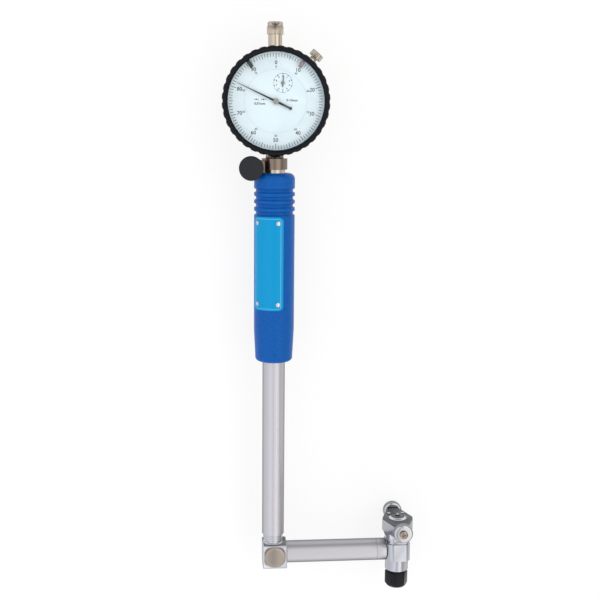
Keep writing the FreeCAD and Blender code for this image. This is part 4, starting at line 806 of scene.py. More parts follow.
def rounded_outline(half_width: float, half_height: float, corner: float, steps: int = 6) -> list:
    """Trace a rectangle with round corners, with extra points along its short sides.

    Args:
        half_width: half of its width, in millimetres.
        half_height: half of its height, in millimetres.
        corner: corner radius, in millimetres.
        steps: straight steps in each corner.
    Returns:
        The corners in order, as pairs.
    """
    outline = []
    across = half_width - corner
    up = half_height - corner
    for quarter, (x_side, y_side) in enumerate(((1, 1), (-1, 1), (-1, -1), (1, -1))):
        for step in range(steps + 1):
            angle = math.pi / 2 * (quarter + step / steps)
            outline.append((x_side * across + corner * math.cos(angle),
                            y_side * up + corner * math.sin(angle)))
        if quarter in (0, 2):
            for step in range(1, 2 * steps):
                share = 1 - step / steps
                outline.append((x_side * across * share, y_side * half_height))
    return outline


class Socket(Enum):
    """Kinds of named input that a rule can have."""

    NUMBER = "NodeSocketFloat"
    COUNT = "NodeSocketInt"
    MATERIAL = "NodeSocketMaterial"


class Rule:
    """A geometry-node tree with named inputs, run once and kept as a plain mesh."""

    def __init__(self, name: str, inputs: dict[str, Socket]) -> None:
        """Start the tree.

        Args:
            name: name of the tree.
            inputs: input names and kinds, in order.
        """
        self.tree = bpy.data.node_groups.new(name, "GeometryNodeTree")
        self.sockets = {}
        for label, kind in inputs.items():
            made = self.tree.interface.new_socket(name=label, in_out="INPUT", socket_type=kind.value)
            self.sockets[label] = made.identifier
        self.tree.interface.new_socket(name="Geometry", in_out="OUTPUT", socket_type="NodeSocketGeometry")
        self.given = self.tree.nodes.new("NodeGroupInput")

    def value(self, label: str) -> bpy.types.NodeSocket:
        """Read a named input inside the tree.

        Args:
            label: the input's name.
        Returns:
            Its socket.
        """
        return self.given.outputs[label]

    def calc(self, operation: str, *values, clamp: bool = False) -> bpy.types.Node:
        """Work out one step of arithmetic.

        Args:
            operation: name of the operation.
            values: numbers, nodes or sockets.
            clamp: keep the answer between 0 and 1.
        Returns:
            The node that holds the answer.
        """
        return add_node(self.tree, "ShaderNodeMath", dict(enumerate(values)), operation=operation,
                        use_clamp=clamp)

    def close(self, geometry: bpy.types.Node | bpy.types.NodeSocket) -> None:
        """End the tree: real geometry, with its material.

        Args:
            geometry: socket or node with the geometry.
        """
        real = add_node(self.tree, "GeometryNodeRealizeInstances", {0: geometry})
        painted = add_node(self.tree, "GeometryNodeSetMaterial", {"Geometry": real,
                                                                  "Material": self.value("Material")})
        out = self.tree.nodes.new("NodeGroupOutput")
        self.tree.links.new(painted.outputs[0], out.inputs[0])

    def run(self, name: str, **values) -> bpy.types.Mesh:
        """Run the tree with its inputs set.

        Args:
            name: name of the mesh.
            values: inputs by name, with underscores for spaces.
        Returns:
            A plain mesh.
        """
        carrier = link_object(name + "_rule", bpy.data.meshes.new(name + "_rule"))
        modifier = carrier.modifiers.new("rule", "NODES")
        modifier.node_group = self.tree
        for label, value in values.items():
            modifier[self.sockets[label.replace("_", " ")]] = value
        return frozen_mesh(carrier, name)


def marks_rule() -> Rule:
    """Build the rule for graduation marks round a centre, longer at every fifth and tenth.

    Returns:
        The rule.
    """
    rule = Rule("graduation_marks", {"Count": Socket.COUNT, "Radius": Socket.NUMBER, "Short": Socket.NUMBER,
                                     "Middle": Socket.NUMBER, "Long": Socket.NUMBER, "Thin": Socket.NUMBER,
                                     "Thick": Socket.NUMBER, "Height": Socket.NUMBER, "Start": Socket.NUMBER,
                                     "Material": Socket.MATERIAL})
    tree = rule.tree
    line = add_node(tree, "GeometryNodeMeshLine", {"Count": rule.value("Count"), "Offset": (0, 0, 0)})
    index = add_node(tree, "GeometryNodeInputIndex")
    step = rule.calc("DIVIDE", math.tau, rule.value("Count"))
    angle = rule.calc("ADD", rule.calc("MULTIPLY", index, step), rule.value("Start"))
    fifth = rule.calc("COMPARE", rule.calc("MODULO", index, 5.0), 0.0, 0.1)
    tenth = rule.calc("COMPARE", rule.calc("MODULO", index, 10.0), 0.0, 0.1)
    some = add_node(tree, "GeometryNodeSwitch", {"Switch": fifth, "False": rule.value("Short"),
                                                 "True": rule.value("Middle")}, input_type="FLOAT")
    length = add_node(tree, "GeometryNodeSwitch", {"Switch": tenth, "False": some,
                                                   "True": rule.value("Long")},
                      input_type="FLOAT")
    width = add_node(tree, "GeometryNodeSwitch", {"Switch": fifth, "False": rule.value("Thin"),
                                                  "True": rule.value("Thick")}, input_type="FLOAT")
    middle = rule.calc("SUBTRACT", rule.value("Radius"), rule.calc("MULTIPLY", length, 0.5))
    place = add_node(tree, "ShaderNodeCombineXYZ", {
        "X": rule.calc("MULTIPLY", middle, rule.calc("COSINE", angle)),
        "Y": rule.calc("MULTIPLY", middle, rule.calc("SINE", angle))})
    spots = add_node(tree, "GeometryNodeSetPosition", {"Geometry": line, "Position": place})
    bar = add_node(tree, "GeometryNodeMeshCube", {"Size": (1, 1, 1)})
    turn = add_node(tree, "ShaderNodeCombineXYZ", {"Z": angle})
    size = add_node(tree, "ShaderNodeCombineXYZ", {"X": length, "Y": width, "Z": rule.value("Height")})
    bars = add_node(tree, "GeometryNodeInstanceOnPoints", {"Points": spots, "Instance": bar, "Rotation": turn,
                                                           "Scale": size})
    rule.close(bars)
    return rule


def knurl_rule() -> Rule:
    """Build the rule for straight knurls: sharp ridges side by side round an axis.

    Returns:
        The rule.
    """
    rule = Rule("straight_knurl", {"Count": Socket.COUNT, "Radius": Socket.NUMBER, "Depth": Socket.NUMBER,
                                   "Length": Socket.NUMBER, "Material": Socket.MATERIAL})
    tree = rule.tree
    line = add_node(tree, "GeometryNodeMeshLine", {"Count": rule.value("Count"), "Offset": (0, 0, 0)})
    index = add_node(tree, "GeometryNodeInputIndex")
    angle = rule.calc("MULTIPLY", index, rule.calc("DIVIDE", math.tau, rule.value("Count")))
    middle = rule.calc("SUBTRACT", rule.value("Radius"),
                       rule.calc("MULTIPLY", rule.value("Depth"), math.sqrt(0.5)))
    place = add_node(tree, "ShaderNodeCombineXYZ", {
        "X": rule.calc("MULTIPLY", middle, rule.calc("COSINE", angle)),
        "Y": rule.calc("MULTIPLY", middle, rule.calc("SINE", angle)),
        "Z": rule.calc("MULTIPLY", rule.value("Length"), 0.5)})
    spots = add_node(tree, "GeometryNodeSetPosition", {"Geometry": line, "Position": place})
    ridge = add_node(tree, "GeometryNodeMeshCube", {"Size": (1, 1, 1)})
    turned = add_node(tree, "GeometryNodeTransform", {"Geometry": ridge, "Rotation": (0, 0, math.pi / 4)})
    turn = add_node(tree, "ShaderNodeCombineXYZ", {"Z": angle})
    size = add_node(tree, "ShaderNodeCombineXYZ", {"X": rule.value("Depth"), "Y": rule.value("Depth"),
                                                   "Z": rule.value("Length")})
    ridges = add_node(tree, "GeometryNodeInstanceOnPoints", {"Points": spots, "Instance": turned,
                                                             "Rotation": turn, "Scale": size})
    rule.close(ridges)
    return rule


def grip_rule(attribute: str) -> Rule:
    """Build the rule for the grip: a round sleeve with a taper, domed ends and finger grooves.

    Args:
        attribute: vertex value that is one at the bottom of a groove.
    Returns:
        The rule.
    """
    rule = Rule("grooved_grip", {"Around": Socket.COUNT, "Along": Socket.COUNT, "Bottom": Socket.NUMBER,
                                 "Top": Socket.NUMBER, "Radius": Socket.NUMBER, "Low Radius": Socket.NUMBER,
                                 "Taper Start": Socket.NUMBER, "Top Round": Socket.NUMBER,
                                 "Low Round": Socket.NUMBER, "Groove Top": Socket.NUMBER,
                                 "Groove Pitch": Socket.NUMBER, "Groove Last": Socket.NUMBER,
                                 "Groove Radius": Socket.NUMBER, "Groove Offset": Socket.NUMBER,
                                 "Material": Socket.MATERIAL})
    tree = rule.tree
    calc = rule.calc
    value = rule.value
    grid = add_node(tree, "GeometryNodeMeshGrid", {"Size X": 1.0, "Size Y": 1.0,
                                                   "Vertices X": value("Around"),
                                                   "Vertices Y": value("Along")})
    here = add_node(tree, "ShaderNodeSeparateXYZ", {0: add_node(tree, "GeometryNodeInputPosition")})
    angle = calc("MULTIPLY", calc("ADD", here.outputs["X"], 0.5), math.tau)
    share = calc("ADD", here.outputs["Y"], 0.5)
    y = calc("ADD", value("Bottom"), calc("MULTIPLY", share, calc("SUBTRACT", value("Top"), value("Bottom"))))
    climb = calc("DIVIDE", calc("SUBTRACT", y, value("Bottom")),
                 calc("SUBTRACT", value("Taper Start"), value("Bottom")),
                 clamp=True)
    plain = calc("ADD", value("Low Radius"), calc("MULTIPLY", climb, calc("SUBTRACT", value("Radius"),
                                                                          value("Low Radius"))))
    over = calc("MAXIMUM", calc("SUBTRACT", y, calc("SUBTRACT", value("Top"), value("Top Round"))), 0.0)
    dome = calc("SUBTRACT", value("Top Round"), calc("SQRT", calc("MAXIMUM", calc(
        "SUBTRACT", calc("POWER", value("Top Round"), 2.0), calc("POWER", over, 2.0)), 0.0)))
    under = calc("MAXIMUM", calc("SUBTRACT", calc("ADD", value("Bottom"), value("Low Round")), y), 0.0)
    foot = calc("SUBTRACT", value("Low Round"), calc("SQRT", calc("MAXIMUM", calc(
        "SUBTRACT", calc("POWER", value("Low Round"), 2.0), calc("POWER", under, 2.0)), 0.0)))
    turn_number = calc("MINIMUM", calc("MAXIMUM", calc("ROUND", calc("DIVIDE", calc(
        "SUBTRACT", value("Groove Top"), y), value("Groove Pitch"))), 0.0), value("Groove Last"))
    off = calc("SUBTRACT", y, calc("SUBTRACT", value("Groove Top"), calc("MULTIPLY", turn_number,
                                                                         value("Groove Pitch"))))
    chord = calc("SQRT", calc("MAXIMUM", calc("SUBTRACT", calc("POWER", value("Groove Radius"), 2.0),
                                              calc("POWER", off, 2.0)), 0.0))
    cut = calc("MAXIMUM", calc("SUBTRACT", chord, value("Groove Offset")), 0.0)
    radius = calc("SUBTRACT", calc("SUBTRACT", calc("SUBTRACT", plain, dome), foot), cut)
    place = add_node(tree, "ShaderNodeCombineXYZ", {"X": calc("MULTIPLY", radius, calc("COSINE", angle)),
                                                    "Y": y,
                                                    "Z": calc("MULTIPLY", radius, calc("SINE", angle))})
    formed = add_node(tree, "GeometryNodeSetPosition", {"Geometry": grid, "Position": place})
    low = calc("DIVIDE", cut, calc("SUBTRACT", value("Groove Radius"), value("Groove Offset")))
    kept = add_node(tree, "GeometryNodeStoreNamedAttribute", {"Geometry": formed, "Name": attribute,
                                                              "Value": low},
                    data_type="FLOAT", domain="POINT")
    rule.close(kept)
    return rule


@dataclass
class Recess:
    """A cross recess pressed into the end of a screw.

    Args:
        length: span of the cross, in millimetres.
        width: width of each arm, in millimetres.
        depth: depth, in millimetres.
        blades: number of arms across, two for a cross and one for a slot.
    """

    length: float
    width: float
    depth: float
    blades: int = 2

    def cutter(self, place: Matrix, turn: float) -> bpy.types.Mesh:
        """Make the solid that the recess takes away.

        Args:
            place: matrix whose +Z points out of the screw's face, at the face.
            turn: turn of the cross about that axis, in radians.
        Returns:
            The solid's mesh.
        """
        work = bmesh.new()
        for blade in range(self.blades):
            made = bmesh.ops.create_cube(work, size=1.0)["verts"]
            bmesh.ops.scale(work, verts=made, vec=(self.length * MM, self.width * MM, 2 * self.depth * MM))
            for vertex in made:
                if vertex.co.z < 0:
                    vertex.co.x *= 0.55
                    vertex.co.y *= 0.7
            bmesh.ops.rotate(work, verts=made, matrix=Matrix.Rotation(blade * math.pi / 2, 3, "Z"))
        mesh = bpy.data.meshes.new("recess")
        work.to_mesh(mesh)
        work.free()
        mesh.transform(place @ Matrix.Rotation(turn, 4, "Z"))
        return mesh

    def press(self, piece: bpy.types.Object, place: Matrix, turn: float) -> None:
        """Cut the recess into a piece, for good.

        Args:
            piece: the screw.
            place: matrix whose +Z points out of the screw's face, at the face.
            turn: turn of the cross about that axis, in radians.
        """
        for blade in range(self.blades):
            single = Recess(self.length, self.width, self.depth, 1)
            tool = link_object("recess_tool", single.cutter(place, turn + blade * math.pi / 2))
            cut = piece.modifiers.new("recess", "BOOLEAN")
            cut.operation = "DIFFERENCE"
            cut.solver = "EXACT"
            cut.object = tool
            graph = bpy.context.evaluated_depsgraph_get()
            mesh = bpy.data.meshes.new_from_object(piece.evaluated_get(graph), depsgraph=graph)
            mesh.name = piece.name
            piece.modifiers.clear()
            piece.data = mesh
            bpy.data.objects.remove(tool)
        tidy_mesh(piece.data, 30.0)


# ---------------------------------------------------------------- sub-assemblies
@dataclass
class Elbow:
    """The elbow block, its plug and the two tubes."""

    finishes: Finishes
    nodes: dict

    def build(self) -> None:
        """Dress the elbow and tubes."""
        f = self.finishes
        Skin("main_tube", "gauge_frame", f.tube, "satin_aluminium", bevel=0.15, flat=False).build(self.nodes)
        Skin("arm_tube", "gauge_frame", f.arm, "satin_aluminium", bevel=0.15, flat=False).build(self.nodes)
        Skin("arm_sleeve", "gauge_frame", f.arm, "satin_aluminium", bevel=0.15, flat=False).build(self.nodes)
        block = Skin("corner_block", "gauge_frame", f.block, "satin_aluminium").build(self.nodes)
        # Painted shade: the block's face towards +Y takes a darker colour.
        paint_where(block, f.block_top_painted_shade, lambda spot, normal: normal.y > FACE_FLAT)
        Skin("corner_plug", "gauge_frame", f.plug, "ground_steel").build(self.nodes)


@dataclass
class Head:
    """The measuring head: body, bridge, rollers, contact and clamping nut.

    Args:
        finishes: the shared materials.
        nodes: the frame's node objects.
        bridge_travel: how far the bridge can be pressed in, in millimetres; not used.
    """

    finishes: Finishes
    nodes: dict
    bridge_travel: float = 2.0

    def build(self) -> None:
        """Dress the head."""
        f = self.finishes
        Skin("head_body", "gauge_frame", f.head, "satin_aluminium", bevel=0.12).build(self.nodes)
        Skin("lock_nut", "nut", f.black_steel, "black_oxide", bevel=0.12).build(self.nodes)
        Skin("centring_bridge", "bridge", f.head, "ground_steel", bevel=0.12).build(self.nodes)
        plate = Skin("bridge_plate", "bridge", f.dark_steel, "dark_steel").build(self.nodes)
        # Painted highlight: the sloped faces of the boss's bevel take a bright colour.
        paint_where(plate, f.bright_steel, lambda spot, normal: 0.3 < normal.y < 0.95)
        Skin("bridge_plate_screws", "bridge", f.steel, "ground_steel").build(self.nodes)
        springs = Skin("bridge_springs", "gauge_frame", f.steel, "ground_steel").build(self.nodes)
        low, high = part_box("bridge_springs")
        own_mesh(springs)
        Skin("roller_front", "front_wheel", f.chrome, "polished_chrome").build(self.nodes)
        Skin("roller_rear", "rear_wheel", f.chrome, "polished_chrome").build(self.nodes)
        Skin("measuring_contact", "contact", f.chrome, "polished_chrome").build(self.nodes)
        Skin("contact_tip", "contact", f.chrome, "polished_chrome").build(self.nodes)
        for node, side in (("roller_screw_front", 1), ("roller_screw_rear", -1)):
            screw = Skin(node, "bridge", f.browned, "nickel_plate").build(self.nodes)
            low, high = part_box(node)
            middle = centre_of(node)
            face = high[2] if side > 0 else low[2]
            place = along(Vector((0, 0, side)), Vector((middle.x * MM, middle.y * MM, face)))
            Recess(2.9, 0.62, 0.75).press(screw, place, 0.35)


@dataclass
class Handle:
    """The rubber grip, its label, and the clamp that holds the indicator."""

    finishes: Finishes
    nodes: dict
    attribute: str = "groove"
    label_half_width: float = 8.3
    label_corner: float = 2.2
    label_turn: float = -24.0
    label_radius: float = 11.72
    border_inset: float = 0.9
    border_width: float = 0.22

    def build(self) -> None:
        """Dress the handle."""
        f = self.finishes
        self.grip()
        Skin("name_label", "gauge_frame", f.label, "label_cyan", bevel=0.1).build(self.nodes)
        self.label_border()
        Skin("label_screws", "gauge_frame", f.steel, "polished_chrome").build(self.nodes)
        Skin("handle_core", "gauge_frame", f.satin_nickel, "satin_aluminium").build(self.nodes)
        Skin("clamp_collar", "gauge_frame", f.clamp, "clamp_bronze", bevel=0.2).build(self.nodes)
        Skin("clamp_knob", "clamp_screw", f.black_plastic, "black_plastic", bevel=0.2).build(self.nodes)
        Skin("clamp_stud", "clamp_screw", f.steel, "ground_steel").build(self.nodes)

    def label_border(self) -> None:
        """Draw the lighter cyan fine line that runs just inside the label's edge."""
        low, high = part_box("name_label")
        axis_x = centre_of("grip").x
        half_height = (high[1] - low[1]) / 2 / MM
        middle_y = (high[1] + low[1]) / 2 / MM
        sides = []
        for inset in (self.border_inset, self.border_inset + self.border_width):
            sides.append(rounded_outline(self.label_half_width - inset, half_height - inset,
                                         self.label_corner - inset))
        turn = Matrix.Rotation(math.radians(self.label_turn), 3, "Y")
        points = []
        for outline in sides:
            for x, y in outline:
                lifted = turn @ Vector((x, 0, math.sqrt(self.label_radius ** 2 - x ** 2)))
                points.append(tuple(metres(axis_x + lifted.x, middle_y + y, lifted.z)))
        count = len(sides[0])
        faces = []
        for step in range(count):
            after = (step + 1) % count
            faces.append((step, after, count + after, count + step))
        mesh = bpy.data.meshes.new("label_border")
        mesh.from_pydata(points, [], faces)
        mesh.materials.append(self.finishes.label_line)
        tidy_mesh(mesh, 60.0)
        piece = link_object("label_border", mesh)
        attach(piece, "gauge_frame")
        LOG.info("%s: %d faces", piece.name, len(mesh.polygons))

    def grip(self) -> None:
        """Form the grip by its rule and close its ends."""
        low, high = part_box("grip")
        axis_x = (low[0] + high[0]) / 2
        mesh = grip_rule(self.attribute).run(
            "grip_rubber", Around=161, Along=520, Bottom=low[1], Top=high[1], Radius=(high[0] - low[0]) / 2,
            Low_Radius=10.35 * MM, Taper_Start=154.6 * MM, Top_Round=3.4 * MM, Low_Round=1.8 * MM,
            Groove_Top=232.1 * MM, Groove_Pitch=4.1 * MM, Groove_Last=3.0, Groove_Radius=1.15 * MM,
            Groove_Offset=0.08 * MM, Material=self.finishes.rubber)
        mesh.transform(Matrix.Translation((axis_x, 0, 0)))
        work = bmesh.new()
        work.from_mesh(mesh)
        bmesh.ops.remove_doubles(work, verts=work.verts, dist=0.002 * MM)
        bmesh.ops.holes_fill(work, edges=[edge for edge in work.edges if edge.is_boundary])
        bmesh.ops.recalc_face_normals(work, faces=work.faces)
        work.to_mesh(mesh)
        work.free()
        tidy_mesh(mesh, 50.0)
        piece = link_object("grip_rubber", mesh)
        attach(piece, "gauge_frame")
        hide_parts("grip")
        LOG.info("%s: %d faces", piece.name, len(mesh.polygons))


@dataclass
class Indicator:
    """The indicator's outside: case, stem, bezel, crystal, cap and lock screw."""

    finishes: Finishes
    nodes: dict
    slope_radius: float = 27.1
    hub_radius: float = 1.62
    small_hub_radius: float = 1.0
    knurl_count: int = 40
    knurl_radius: float = 3.62
    knurl_depth: float = 0.36
    knurl_length: float = 2.3
    knurl_inset: float = 0.4

    def build(self) -> None:
        """Dress the indicator."""
        f = self.finishes
        Skin("dial_case", "indicator", f.satin_nickel, "case_nickel", bevel=0.15).build(self.nodes)
        Skin("back_cover", "indicator", f.satin_nickel, "case_nickel", bevel=0.15).build(self.nodes)
        Skin("back_cover_screws", "indicator", f.steel, "ground_steel").build(self.nodes)
        Skin("stem", "indicator", f.nickel, "nickel_plate").build(self.nodes)
        Skin("cap_tube", "indicator", f.nickel, "nickel_plate", bevel=0.1).build(self.nodes)
        Skin("dust_cap", "cap", f.nickel, "nickel_plate").build(self.nodes)
        Skin("bezel_lock_screw", "bezel_lock", f.satin_nickel, "nickel_plate").build(self.nodes)
        Skin("crystal", "bezel", f.crystal, "clear_crystal").build(self.nodes)
        Skin("dial_ring", "bezel", f.dial, "dial_white").build(self.nodes)
        Skin("inner_dial", "indicator", f.dial, "dial_white").build(self.nodes)
        self.pointers()
        Skin("limit_marker_low", "low_marker", f.marker_dark, "pointer_black", bevel=0.1).build(self.nodes)
        Skin("limit_marker_high", "high_marker", f.marker_light, "marker_grey", bevel=0.1).build(self.nodes)
        ring = Skin("bezel_ring", "bezel", f.bezel_black, "bezel_black").build(self.nodes)
        middle = centre_of("dial_ring")
        paint_where(ring, f.bezel_slope,
                    lambda spot, normal: (spot - middle).xy.length < self.slope_radius
                    and normal.z > FACE_UP)
        self.lock_knurl()

    def pointers(self) -> None:
        """Dress both pointers, with their hubs in their own finish."""
        f = self.finishes
        for node, body, arbor, reach, drop in (
                ("main_pointer", "pointer_arbor", "dial_ring", self.hub_radius, 0.35),
                ("revolution_pointer", "revolution_arbor", "revolution_wheel", self.small_hub_radius, 0.05)):
            piece = Skin(node, body, f.pointer, "pointer_black").build(self.nodes)
            low_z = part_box(node)[1][2] / MM - drop
            middle = centre_of(arbor)
            paint_where(piece, f.hub,
                        lambda spot, normal: (spot - middle).xy.length < reach and spot.z > low_z
                        and normal.z > FACE_UP)

    def lock_knurl(self) -> None:
        """Cut straight knurls round the head of the bezel's lock screw."""
        joint = next(one for one in frame["joints"] if one["name"] == "bezel_lock_turn")
        axis = Vector(joint["axis"])
        start = Vector(joint["pos_m"])
        reach = [(point.co - start).dot(axis) for point in self.nodes["bezel_lock_screw"].data.vertices]
        end = max(reach)
        mesh = knurl_rule().run("lock_screw_knurl", Count=self.knurl_count, Radius=self.knurl_radius * MM,
                                Depth=self.knurl_depth * MM, Length=self.knurl_length * MM,
                                Material=self.finishes.satin_nickel)
        mesh.transform(along(axis, start + axis * (end - (self.knurl_length + self.knurl_inset) * MM)))
        piece = link_object("lock_screw_knurl", mesh)
        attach(piece, "bezel_lock")
        LOG.info("%s: %d faces", piece.name, len(mesh.polygons))


@dataclass
class DialPrint:
    """Everything printed on the dial: graduations, numbers, the small dial and its words."""

    finishes: Finishes
    outer: float = 25.2
    numbers: float = 20.4
    small_numbers: float = 18.1

    def build(self) -> None:
        """Print the dial."""
        middle = centre_of("dial_ring")
        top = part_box("dial_ring")[1][2] / MM + INK_LIFT
        self.graduations(middle, top)
        self.outer_numbers(middle, top)
        self.small_dial(middle, top)
        self.words(middle, top)
        circle = Lettering()
        circle.ring(Vector((middle.x, middle.y, top)), 16.55, 16.7, 160)
        circle.finish("dial_fine_circle", self.finishes.pale_ink, "indicator")

    def graduations(self, middle: Vector, top: float) -> None:
        """Print the hundred marks.

        Args:
            middle: centre of the dial, in millimetres.
            top: height of the ink, in millimetres.
        """
        mesh = marks_rule().run("graduations", Count=100, Radius=self.outer * MM, Short=1.9 * MM,
                                Middle=2.3 * MM, Long=2.9 * MM, Thin=0.24 * MM, Thick=0.3 * MM,
                                Height=INK_LIFT * MM, Start=math.pi / 2, Material=self.finishes.ink)
        mesh.transform(Matrix.Translation(metres(middle.x, middle.y, top - INK_LIFT / 2)))
        piece = link_object("graduations", mesh)
        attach(piece, "bezel")
        LOG.info("graduations: %d faces", len(mesh.polygons))

    def outer_numbers(self, middle: Vector, top: float) -> None:
        """Print the clockwise numbers and the small counter-clockwise ones.

        Args:
            middle: centre of the dial, in millimetres.
            top: height of the ink, in millimetres.
        """
        large = Lettering()
        small = Lettering()
        for index in range(10):
            angle = math.pi / 2 - math.tau * index / 10
            spoke = Vector((math.cos(angle), math.sin(angle), 0))
            place = Vector((middle.x, middle.y, top))
            large.write(str(index * 10), 2.05, place + spoke * self.numbers)
            small.write(str((10 - index) % 10 * 10), 1.1, place + spoke * self.small_numbers)
        large.finish("dial_numbers", self.finishes.ink, "bezel")
        small.finish("dial_small_numbers", self.finishes.fine_ink, "bezel")

    def small_dial(self, middle: Vector, top: float) -> None:
        """Print the revolution dial: a ring of dots, a fine circle and its numbers.

        Args:
            middle: centre of the main dial, in millimetres.
            top: height of the ink, in millimetres.
        """
        centre = centre_of("revolution_wheel")
        place = Vector((centre.x, centre.y, top))
        ink = Lettering()
        ink.ring(place, 4.95, 5.07, 128)
        for index in range(10):
            angle = math.pi / 2 - math.tau * index / 10
            spoke = Vector((math.cos(angle), math.sin(angle), 0))
            ink.ring(place + spoke * 4.75 + Vector((0, 0, 0.002)), 0.0, 0.3, 20)
            ink.write(str(index), 0.85, place + spoke * 3.6)
        ink.finish("small_dial_print", self.finishes.ink, "indicator")
        wheel = centre_of("rack_wheel")
        enamel = Lettering()
        enamel.ring(Vector((wheel.x, wheel.y, top)), 0.0, 1.1, 32)
        enamel.finish("arbor_hole_cover", self.finishes.dial, "indicator")

    def words(self, middle: Vector, top: float) -> None:
        """Print the interval and range, with the arrows of one division.

        Args:
            middle: centre of the dial, in millimetres.
            top: height of the ink, in millimetres.
        """
        ink = Lettering()
        left = middle.x - 8.6
        ink.write("0.01mm", 1.3, Vector((left, middle.y - 1.2, top)))
        row = middle.y + 1.0
        for side in (-1, 1):
            near = left + side * 0.75
            ink.shape([(near - 0.07, row - 0.6), (near + 0.07, row - 0.6), (near + 0.07, row + 0.6),
                       (near - 0.07, row + 0.6)], top)
            ink.shape([(near + side * 0.2, row), (near + side * 1.5, row + 0.45),
                       (near + side * 1.5, row - 0.45)], top)
            ink.shape([(near + side * 1.5, row - 0.08), (near + side * 2.8, row - 0.08),
                       (near + side * 2.8, row + 0.08), (near + side * 1.5, row + 0.08)], top)
        ink.write("0-10mm", 1.3, Vector((middle.x + 8.6, middle.y + 0.7, top)))
        ink.finish("dial_words", self.finishes.ink, "indicator")


@dataclass
class Inside:
    """The pieces inside the gauge, which keep their CAD shape and take a plain finish."""

    finishes: Finishes
    nodes: dict

    def build(self) -> None:
        """Give the inner pieces their materials."""
        f = self.finishes
        brass = ("rear_movement_plate", "front_movement_plate", "centre_bridge", "rack_wheel",
                 "revolution_wheel", "arm_rod_guide", "main_rod_guides", "top_rod_guide", "contact_bush")
        for name, piece in self.nodes.items():
            material = f.brass if name in brass else f.steel
            if not piece.data.materials:
                piece.data.materials.append(material)
            for index in range(len(piece.data.materials)):
                piece.data.materials[index] = material
        LOG.info("inner pieces painted")


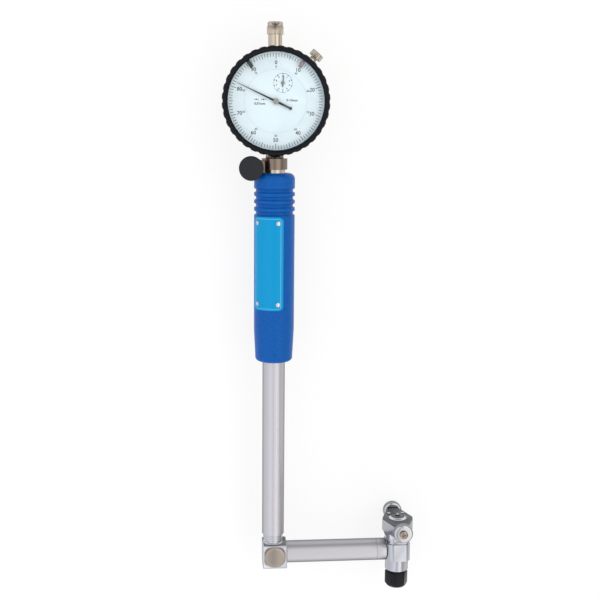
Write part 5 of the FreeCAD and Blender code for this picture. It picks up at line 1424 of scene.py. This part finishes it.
# ---------------------------------------------------------------- studio
@dataclass
class Studio:
    """Floor, light and camera.

    Args:
        position: camera place, in millimetres.
        target: point it looks at, in millimetres.
        roll: turn about the viewing axis, in degrees.
        lens: focal length on a 36 mm sensor, in millimetres.
        floor_half: half of the floor's side, in metres.
        floor_colour, floor_roughness: the floor's paper.
        floor_glow: share of plain white in the floor as the eye and the metal see it.
        strength: level of the whole sky.
        far_start, far_end: how far towards +Y the sky starts and ends its darkening, as a direction's Y.
        far_level: level beyond that.
        warmth: how much the sky cools towards -X and warms towards +X.
        backdrop_share: how much of the white backdrop a mirrored ray meets.
        sky: levels of the sky against the angle from the zenith towards +X, in degrees.
    """

    position: tuple[float, float, float] = (-109.1, 268.3, 551.7)
    target: tuple[float, float, float] = (-59.04, 170.61, 0.0)
    roll: float = 0.53
    lens: float = 60.0
    floor_half: float = 3.0
    floor_colour: str = "#F4F4F4"
    floor_roughness: float = 0.9
    floor_glow: float = 0.8
    strength: float = 1.2
    far_start: float = 0.7
    far_end: float = 0.96
    far_level: float = 0.14
    warmth: float = 0.05
    backdrop_share: float = 0.08
    sky: tuple = ((-90, 0.80), (-60, 0.95), (-40, 1.15), (-18, 1.15), (-10, 0.85), (-4, 0.55), (4, 0.60),
                  (12, 1.25), (38, 1.60), (46, 1.30), (56, 0.55), (70, 0.45), (80, 0.70), (90, 0.95))

    def build(self) -> None:
        """Set up the studio."""
        self.floor()
        self.light()
        self.camera()

    def floor(self) -> None:
        """Lay a wide white floor just under the gauge."""
        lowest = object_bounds()[0][2]
        mesh = bpy.data.meshes.new("floor")
        half = self.floor_half
        corners = [(-half, -half, lowest), (half, -half, lowest), (half, half, lowest), (-half, half, lowest)]
        mesh.from_pydata(corners, [], [(0, 1, 2, 3)])
        floor = link_object("floor", mesh)
        material, tree, paper = new_material("matt_white_paper")
        paper.inputs["Base Color"].default_value = linear(self.floor_colour)
        paper.inputs["Roughness"].default_value = self.floor_roughness
        paper.inputs["Specular IOR Level"].default_value = 0.0
        white = add_node(tree, "ShaderNodeEmission", {"Strength": 1.0})
        path = add_node(tree, "ShaderNodeLightPath")
        seen = add_node(tree, "ShaderNodeMath", {0: path.outputs["Is Camera Ray"],
                                                 1: path.outputs["Is Glossy Ray"]}, operation="MAXIMUM")
        seen = add_node(tree, "ShaderNodeMath", {0: seen, 1: path.outputs["Is Transmission Ray"]},
                        operation="MAXIMUM")
        share = add_node(tree, "ShaderNodeMath", {0: seen, 1: self.floor_glow}, operation="MULTIPLY")
        mixed = add_node(tree, "ShaderNodeMixShader", {0: share, 1: paper, 2: white})
        tree.links.new(mixed.outputs[0], tree.nodes["Material Output"].inputs["Surface"])
        mesh.materials.append(material)
        floor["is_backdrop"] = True

    def light(self) -> None:
        """Light the gauge with a soft banded sky, and show a white backdrop behind it."""
        world = bpy.data.worlds.new("studio")
        bpy.context.scene.world = world
        world.use_nodes = True
        tree = world.node_tree
        place = add_node(tree, "ShaderNodeTexCoord")
        parts = add_node(tree, "ShaderNodeSeparateXYZ", {0: place.outputs["Generated"]})
        across = add_node(tree, "ShaderNodeMath", {0: parts.outputs["X"], 1: parts.outputs["Z"]},
                          operation="ARCTAN2")
        share = add_node(tree, "ShaderNodeMapRange", {"Value": across, "From Min": -math.pi / 2,
                                                      "From Max": math.pi / 2})
        bands = add_node(tree, "ShaderNodeValToRGB", {0: share})
        ramp = bands.color_ramp
        while len(ramp.elements) > 1:
            ramp.elements.remove(ramp.elements[0])
        for number, (angle, level) in enumerate(self.sky):
            spot = angle / 180 + 0.5
            stop = ramp.elements[0] if number == 0 else ramp.elements.new(spot)
            stop.position = spot
            warmth = self.warmth * spot
            stop.color = (level * (1 + warmth), level, level * (1 + self.warmth - 2 * warmth), 1)
        far = add_node(tree, "ShaderNodeMapRange", {"Value": parts.outputs["Y"], "From Min": self.far_start,
                                                    "From Max": self.far_end, "To Min": 1.0,
                                                    "To Max": self.far_level})
        total = add_node(tree, "ShaderNodeMath", {0: far, 1: self.strength}, operation="MULTIPLY")
        background = tree.nodes["Background"]
        tree.links.new(bands.outputs[0], background.inputs["Color"])
        tree.links.new(total.outputs[0], background.inputs["Strength"])
        rays = add_node(tree, "ShaderNodeLightPath")
        straight = add_node(tree, "ShaderNodeMath", {0: rays.outputs["Is Camera Ray"],
                                                     1: rays.outputs["Is Transmission Ray"]},
                            operation="MAXIMUM")
        mirrored = add_node(tree, "ShaderNodeMath", {0: rays.outputs["Is Glossy Ray"],
                                                     1: self.backdrop_share}, operation="MULTIPLY")
        seen = add_node(tree, "ShaderNodeMath", {0: straight, 1: mirrored}, operation="MAXIMUM")
        backdrop = add_node(tree, "ShaderNodeBackground", {"Color": (1, 1, 1, 1), "Strength": 1.0})
        mixed = add_node(tree, "ShaderNodeMixShader", {0: seen, 1: background, 2: backdrop})
        tree.links.new(mixed.outputs[0], tree.nodes["World Output"].inputs["Surface"])

    def camera(self) -> None:
        """Put the camera where the whole gauge fills the square."""
        data = bpy.data.cameras.new("camera")
        data.lens = self.lens
        data.sensor_width = 36.0
        data.dof.use_dof = False
        data.clip_start = 0.01
        data.clip_end = 20.0
        camera = bpy.data.objects.new("camera", data)
        bpy.context.scene.collection.objects.link(camera)
        position = metres(*self.position)
        back = (position - metres(*self.target)).normalized()
        right = Vector((0, 1, 0)).cross(back).normalized()
        up = back.cross(right)
        turn = math.radians(self.roll)
        right, up = right * math.cos(turn) + up * math.sin(turn), up * math.cos(turn) - right * math.sin(turn)
        pose = Matrix((right, up, back)).transposed().to_4x4()
        camera.matrix_world = Matrix.Translation(position) @ pose
        bpy.context.scene.camera = camera


def main() -> None:
    """Build the scene."""
    logging.basicConfig(level=logging.INFO, format="%(name)s %(message)s")
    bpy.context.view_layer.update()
    nodes = frame["nodes"]
    finishes = Finishes()
    Inside(finishes, nodes).build()
    Elbow(finishes, nodes).build()
    Head(finishes, nodes).build()
    Handle(finishes, nodes).build()
    Indicator(finishes, nodes).build()
    DialPrint(finishes).build()
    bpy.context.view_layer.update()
    Studio().build()
    bpy.context.scene.view_settings.view_transform = "Standard"


if __name__ == "__main__":
    main()
